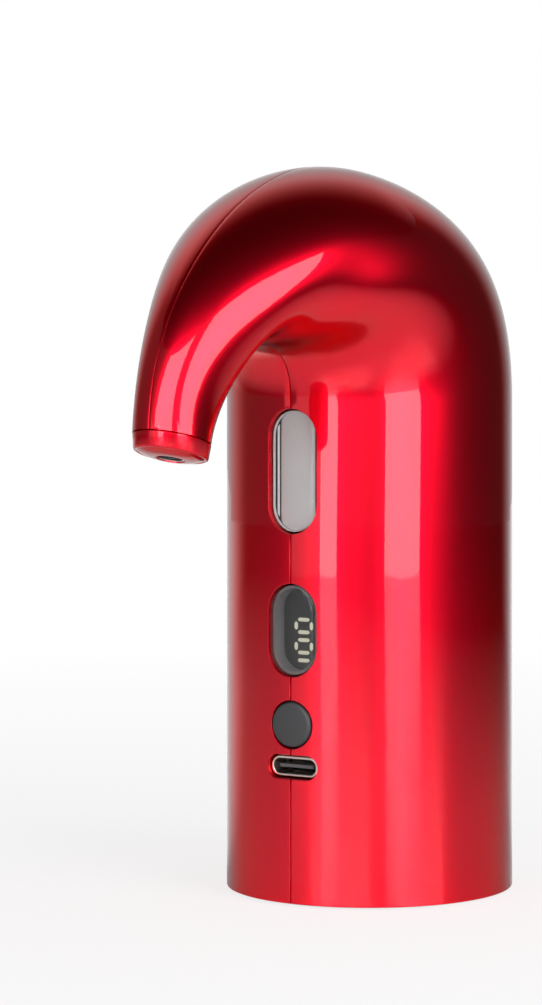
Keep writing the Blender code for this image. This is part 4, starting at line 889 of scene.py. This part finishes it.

# The upper window's tray, painted dark as shade, holds the silvered plate, which two slits divide.
floor = body_radius - plate_depth
middle = opening_width / 2 - centre_gap
height = flow_window_length - 2 * lens_gap
rim_foot = seat - rim_depth
profile = [(0, rim_foot), (0, seat), (tray_wall, seat), (tray_wall, rim_foot)]
form = bmesh.new()
add_stack(form, bent_rings(opening_width, height, flow_centre, profile), closed=True)
finished("flow_window_rim", form, silver_plate, "casing", "flow_window")
tray_top = rim_foot - seat_gap
profile = [(middle, floor - tray_floor), (0, floor - tray_floor), (0, tray_top),
           (tray_wall, tray_top), (tray_wall, floor)]
profile += [(tray_wall + (middle - tray_wall) * step / face_steps, floor)
            for step in range(1, face_steps + 1)]
form = bmesh.new()
add_stack(form, bent_rings(opening_width, height, flow_centre, profile))
finished("flow_window_tray", form, tray_painted_shade, "casing", "flow_window")
form = bmesh.new()
for first, last in strip_edges:
    bent_strip(form, first, last, height - 2 * tray_wall, flow_centre, floor + plate_thickness,
               floor + seat_gap, plate_bevel)
finished("flow_window_plate", form, silver_plate, "casing", "flow_window")

# The lower window's well runs down to the display.
height = display_window_length - 2 * lens_gap
profile = [(0, -guide_low.y), (0, seat), (lens_shelf, seat), (lens_shelf, seat - lens_shelf),
           (well_wall, seat - 2 * lens_shelf), (well_wall, -guide_low.y)]
form = bmesh.new()
add_stack(form, bent_rings(opening_width, height, display_centre, profile), closed=True)
finished("display_well", form, well_grey, "casing", "display_window")


# Display
# Three figures on a dark mask, lit from behind through a pale acrylic guide, as on any battery
# gauge. They lie on their side and read upwards; unlit bars stay dark.
figure_length = 0.00296
figure_width = 0.00206
figure_pitch = 0.00333
bar_width = 0.00060
bar_clearance = 0.00034
bar_rise = 0.00012
bar_gap = 0.00001
figures_drop = 0.0025
guide_haze_mm = 0.4
guide_middle = (guide_low.z + guide_high.z) / 2 - figures_drop
panel_face = guide_low.y + bar_rise


def add_block(form, low, high):
    """Rectangular block between two corners."""
    outline = [(low[0], low[1]), (high[0], low[1]), (high[0], high[1]), (low[0], high[1])]
    add_stack(form, [[Vector((u, v, height)) for u, v in outline]
                     for height in (low[2], high[2])])


def add_bar(form, middle, centre, half_length, upright):
    """Bar of a figure with pointed ends, standing on the panel."""
    half = bar_width / 2
    outline = [(half_length, 0), (half_length - half, half), (half - half_length, half),
               (-half_length, 0), (half - half_length, -half), (half_length - half, -half)]
    if upright:
        outline = [(v, u) for u, v in outline]
    add_stack(form, [[Vector((middle + u, depth, centre + v)) for u, v in outline]
                     for depth in (guide_low.y, panel_face - bar_gap)])


panel_black = moulded_plastic("black_display_mask", "#484848", 0.40, 0.30)
form = bmesh.new()
add_block(form, (guide_low.x, panel_face, guide_low.z), guide_high)
finished("display_panel", form, panel_black, "casing", "display_guide")

lit_bars, tree = new_material("lit_diffusing_acrylic")
place = add_node(tree, "ShaderNodeTexCoord").outputs["Object"]
haze = add_node(tree, "ShaderNodeTexNoise", {"Scale": 1000 / guide_haze_mm, "Detail": 1.0},
                {"Vector": place})
tone = add_node(tree, "ShaderNodeMix",
                {"data_type": "RGBA", 6: linear("#E4E2C0"), 7: linear("#F2F0D6")},
                {0: haze.outputs["Fac"]})
bars = add_node(tree, "ShaderNodeBsdfPrincipled", {"Roughness": 0.5, "Emission Strength": 1.0},
                {"Base Color": tone.outputs[2], "Emission Color": tone.outputs[2]})
add_node(tree, "ShaderNodeOutputMaterial", {}, {"Surface": bars.outputs[0]})
form = bmesh.new()
for index, figure in enumerate("100"):
    centre = guide_middle + (index - 1) * figure_pitch
    for side in ((1,) if figure == "1" else (-1, 1)):
        add_bar(form, 0, centre + side * figure_width / 2,
                figure_length / 2 - bar_clearance, False)
        if figure == "0":
            add_bar(form, side * figure_length / 2, centre,
                    figure_width / 2 - bar_clearance, True)
finished("display_figures", form, lit_bars, "casing")


# Power button
# A round push button moulded in dark grey ABS, with a softly rounded edge and a satin face. Its
# flange holds it behind the casing's wall.
button_radius = 0.0037
button_edge = 0.0006
button_flange = 0.0009
button_flange_thickness = 0.0007
button_nub_radius = 0.0015
flange_gap = 0.0003
button_edge_steps = 6
button_grey = moulded_plastic("dark_grey_satin_abs", "#3A3C3E", 0.50, 0.25)
face = -button_low.y
flange_reach = button_radius + button_flange
flange_edge = math.sqrt((body_radius - casing_wall) ** 2 - flange_reach ** 2) - flange_gap
flange_back = flange_edge - button_flange_thickness
profile = [(0, -button_high.y), (button_nub_radius, -button_high.y),
           (button_nub_radius, flange_back), (flange_reach, flange_back),
           (flange_reach, flange_edge), (button_radius, flange_edge)]
profile += [(button_radius - button_edge * (1 - math.cos(angle)),
             face - button_edge * (1 - math.sin(angle)))
            for angle in [math.pi / 2 * step / button_edge_steps
                          for step in range(button_edge_steps + 1)]]
profile += [(0, face)]
press = Matrix.Translation((0, 0, button_centre)) @ Matrix.Rotation(math.pi / 2, 4, "X")
finished("satin_button", turned(profile, turn_steps, press), button_grey, "button",
                 "power_button", 50)


# Charging socket
# A drawn, nickel plated shell with a bright rolled rim, round a black insulator whose flat tongue
# carries the contacts.
port_width = port_high.x - port_low.x
port_height = port_high.z - port_low.z
port_metal = 0.00038
rim_roll = 0.00006
tongue_half_thickness = 0.00026
tongue_gap = 0.00001
insulator_depth = 0.0020
insulator_gap = 0.0003
bright_nickel = drawn_steel("bright_nickel_plate", "#E6D6CE", 0.12)
rim_ease = ease_share * rim_roll


def port_ring(inset, reach):
    """Outline of the socket, drawn in by an inset, at a place along its depth."""
    return [Vector((u, reach, port_centre + v))
            for u, v in stadium(port_width - 2 * inset, port_height - 2 * inset, corner_steps)]


form = bmesh.new()
add_stack(form, [port_ring(inset, reach) for inset, reach in (
    (0, port_high.y), (0, port_low.y + rim_roll), (rim_ease, port_low.y + rim_ease),
    (rim_roll, port_low.y), (port_metal - rim_roll, port_low.y),
    (port_metal - rim_ease, port_low.y + rim_ease),
    (port_metal, port_low.y + rim_roll), (port_metal, port_high.y),
)], closed=True)
finished("plated_port_shell", form, bright_nickel, "casing", "port_shell")

insert_low, insert_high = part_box("port_insert")
block_front = insert_high.y - insulator_depth
form = bmesh.new()
add_stack(form, [port_ring(port_metal + insulator_gap, reach)
                 for reach in (insert_high.y, block_front)])
insulator_black = moulded_plastic("black_glass_filled_nylon", "#0C0D0E", 0.45, 0.25)
finished("port_insulator", form, insulator_black, "casing", "port_insert")
tongue_grey = moulded_plastic("grey_glass_filled_nylon", "#5A5C5E", 0.35, 0.20)
tongue_half = (port_width - port_height) / 2 + port_metal
form = bmesh.new()
add_block(form, (-tongue_half, insert_low.y, port_centre - tongue_half_thickness),
          (tongue_half, block_front - tongue_gap, port_centre + tongue_half_thickness))
finished("port_tongue", form, tongue_grey, "casing")


# Bottle socket, seal and inlet
# A black nylon socket closes the base; in it sit the translucent silicone seal that grips the
# bottle's mouth and the white acetal fitting for the dip tube.
silicone_bloom_mm = 1.5
nylon_black = moulded_plastic("black_moulded_nylon", "#17181B", 0.48, 0.35)
acetal_white = moulded_plastic("white_moulded_acetal", "#E6E6E2", 0.40, 0.50)
silicone_clear, tree = new_material("translucent_silicone_rubber")
place = add_node(tree, "ShaderNodeTexCoord").outputs["Object"]
bloom = add_node(tree, "ShaderNodeTexNoise",
                 {"Scale": 1000 / silicone_bloom_mm, "Detail": 2.0}, {"Vector": place})
dull = add_node(tree, "ShaderNodeMapRange", {"To Min": 0.28, "To Max": 0.42},
                {"Value": bloom.outputs["Fac"]})
rubber = add_node(tree, "ShaderNodeBsdfPrincipled",
                  {"Base Color": linear("#D9DDDD"), "IOR": 1.41, "Alpha": 0.75,
                   "Subsurface Weight": 0.2, "Subsurface Scale": 0.002},
                  {"Roughness": dull.outputs[0]})
add_node(tree, "ShaderNodeOutputMaterial", {}, {"Surface": rubber.outputs[0]})
dress(["bottle_socket"], nylon_black)
dress(["bottle_seal", "riser_hose", "spout_hose", "air_hose"], silicone_clear)
dress(["wine_inlet"], acetal_white)


# Mixing chamber and what carries it
# A clear moulded tube behind the upper window, held in a ring of the black inner frame.
chamber_clear = lens_plastic("clear_moulded_chamber", "#DDE3E8", 0.45)
dress(["aeration_chamber"], chamber_clear)
dress(["inner_frame", "tact_switch", "display_module", "motor_end_bell"], nylon_black)


# Pump and motor
# Grey nylon pump body with white acetal valve parts, a steel motor can with sintered magnets, a
# rotor wound in enamelled copper, and rubber for the diaphragm and the sleeve.
pump_grey = moulded_plastic("grey_moulded_nylon", "#585D64", 0.45, 0.35)
dress(["pump_cover", "pump_housing"], pump_grey)
dress(["valve_plate", "pump_yoke", "crank_hub", "switch_stem", "battery_plug", "motor_plug"],
      acetal_white)
dress(["pump_diaphragm", "motor_sleeve"], moulded_plastic("grey_rubber", "#5A5C60", 0.70, 0.40))
dress(["motor_magnet_1", "motor_magnet_2", "boost_coil"],
      moulded_plastic("sintered_ferrite", "#232426", 0.60, 0.20))

# The 0.3 mm wire is drawn as bands about six times as wide, because it is too fine to show. The
# wave texture multiplies its scale by a factor of its own.
winding_wire_mm = 0.3
wave_factor = 20
copper_wire, tree = new_material("enamelled_copper_winding")
place = add_node(tree, "ShaderNodeTexCoord").outputs["Object"]
turns = add_node(tree, "ShaderNodeTexWave",
                 {"Scale": 1000 / winding_wire_mm / wave_factor, "bands_direction": "Z"},
                 {"Vector": place})
wire_relief = add_node(tree, "ShaderNodeBump", {"Strength": 0.5, "Distance": 0.0001},
                       {"Height": turns.outputs["Fac"]})
wire = add_node(tree, "ShaderNodeBsdfPrincipled",
                {"Base Color": linear("#A8623A"), "Metallic": 0.9, "Roughness": 0.32},
                {"Normal": wire_relief.outputs[0]})
add_node(tree, "ShaderNodeOutputMaterial", {}, {"Surface": wire.outputs[0]})
dress(["motor_rotor"], copper_wire)


# Board, cell and leads
# Green glass-fibre board with its black controller, a lithium cell in blue shrink wrap with its
# guard board, and leads in red and black PVC.
dress(["main_board", "battery_guard"],
      moulded_plastic("green_solder_mask", "#1E5A36", 0.35, 0.30))
dress(["controller_chip"], moulded_plastic("black_epoxy_package", "#1B1C1E", 0.55, 0.20))
dress(["battery_cell"], moulded_plastic("blue_shrink_wrap", "#2E5FA8", 0.30, 0.80))
dress(["battery_lead_1", "motor_lead_1"],
      moulded_plastic("red_pvc_insulation", "#B01818", 0.40, 0.40))
dress(["battery_lead_2", "motor_lead_2"],
      moulded_plastic("black_pvc_insulation", "#1B1B1D", 0.40, 0.40))
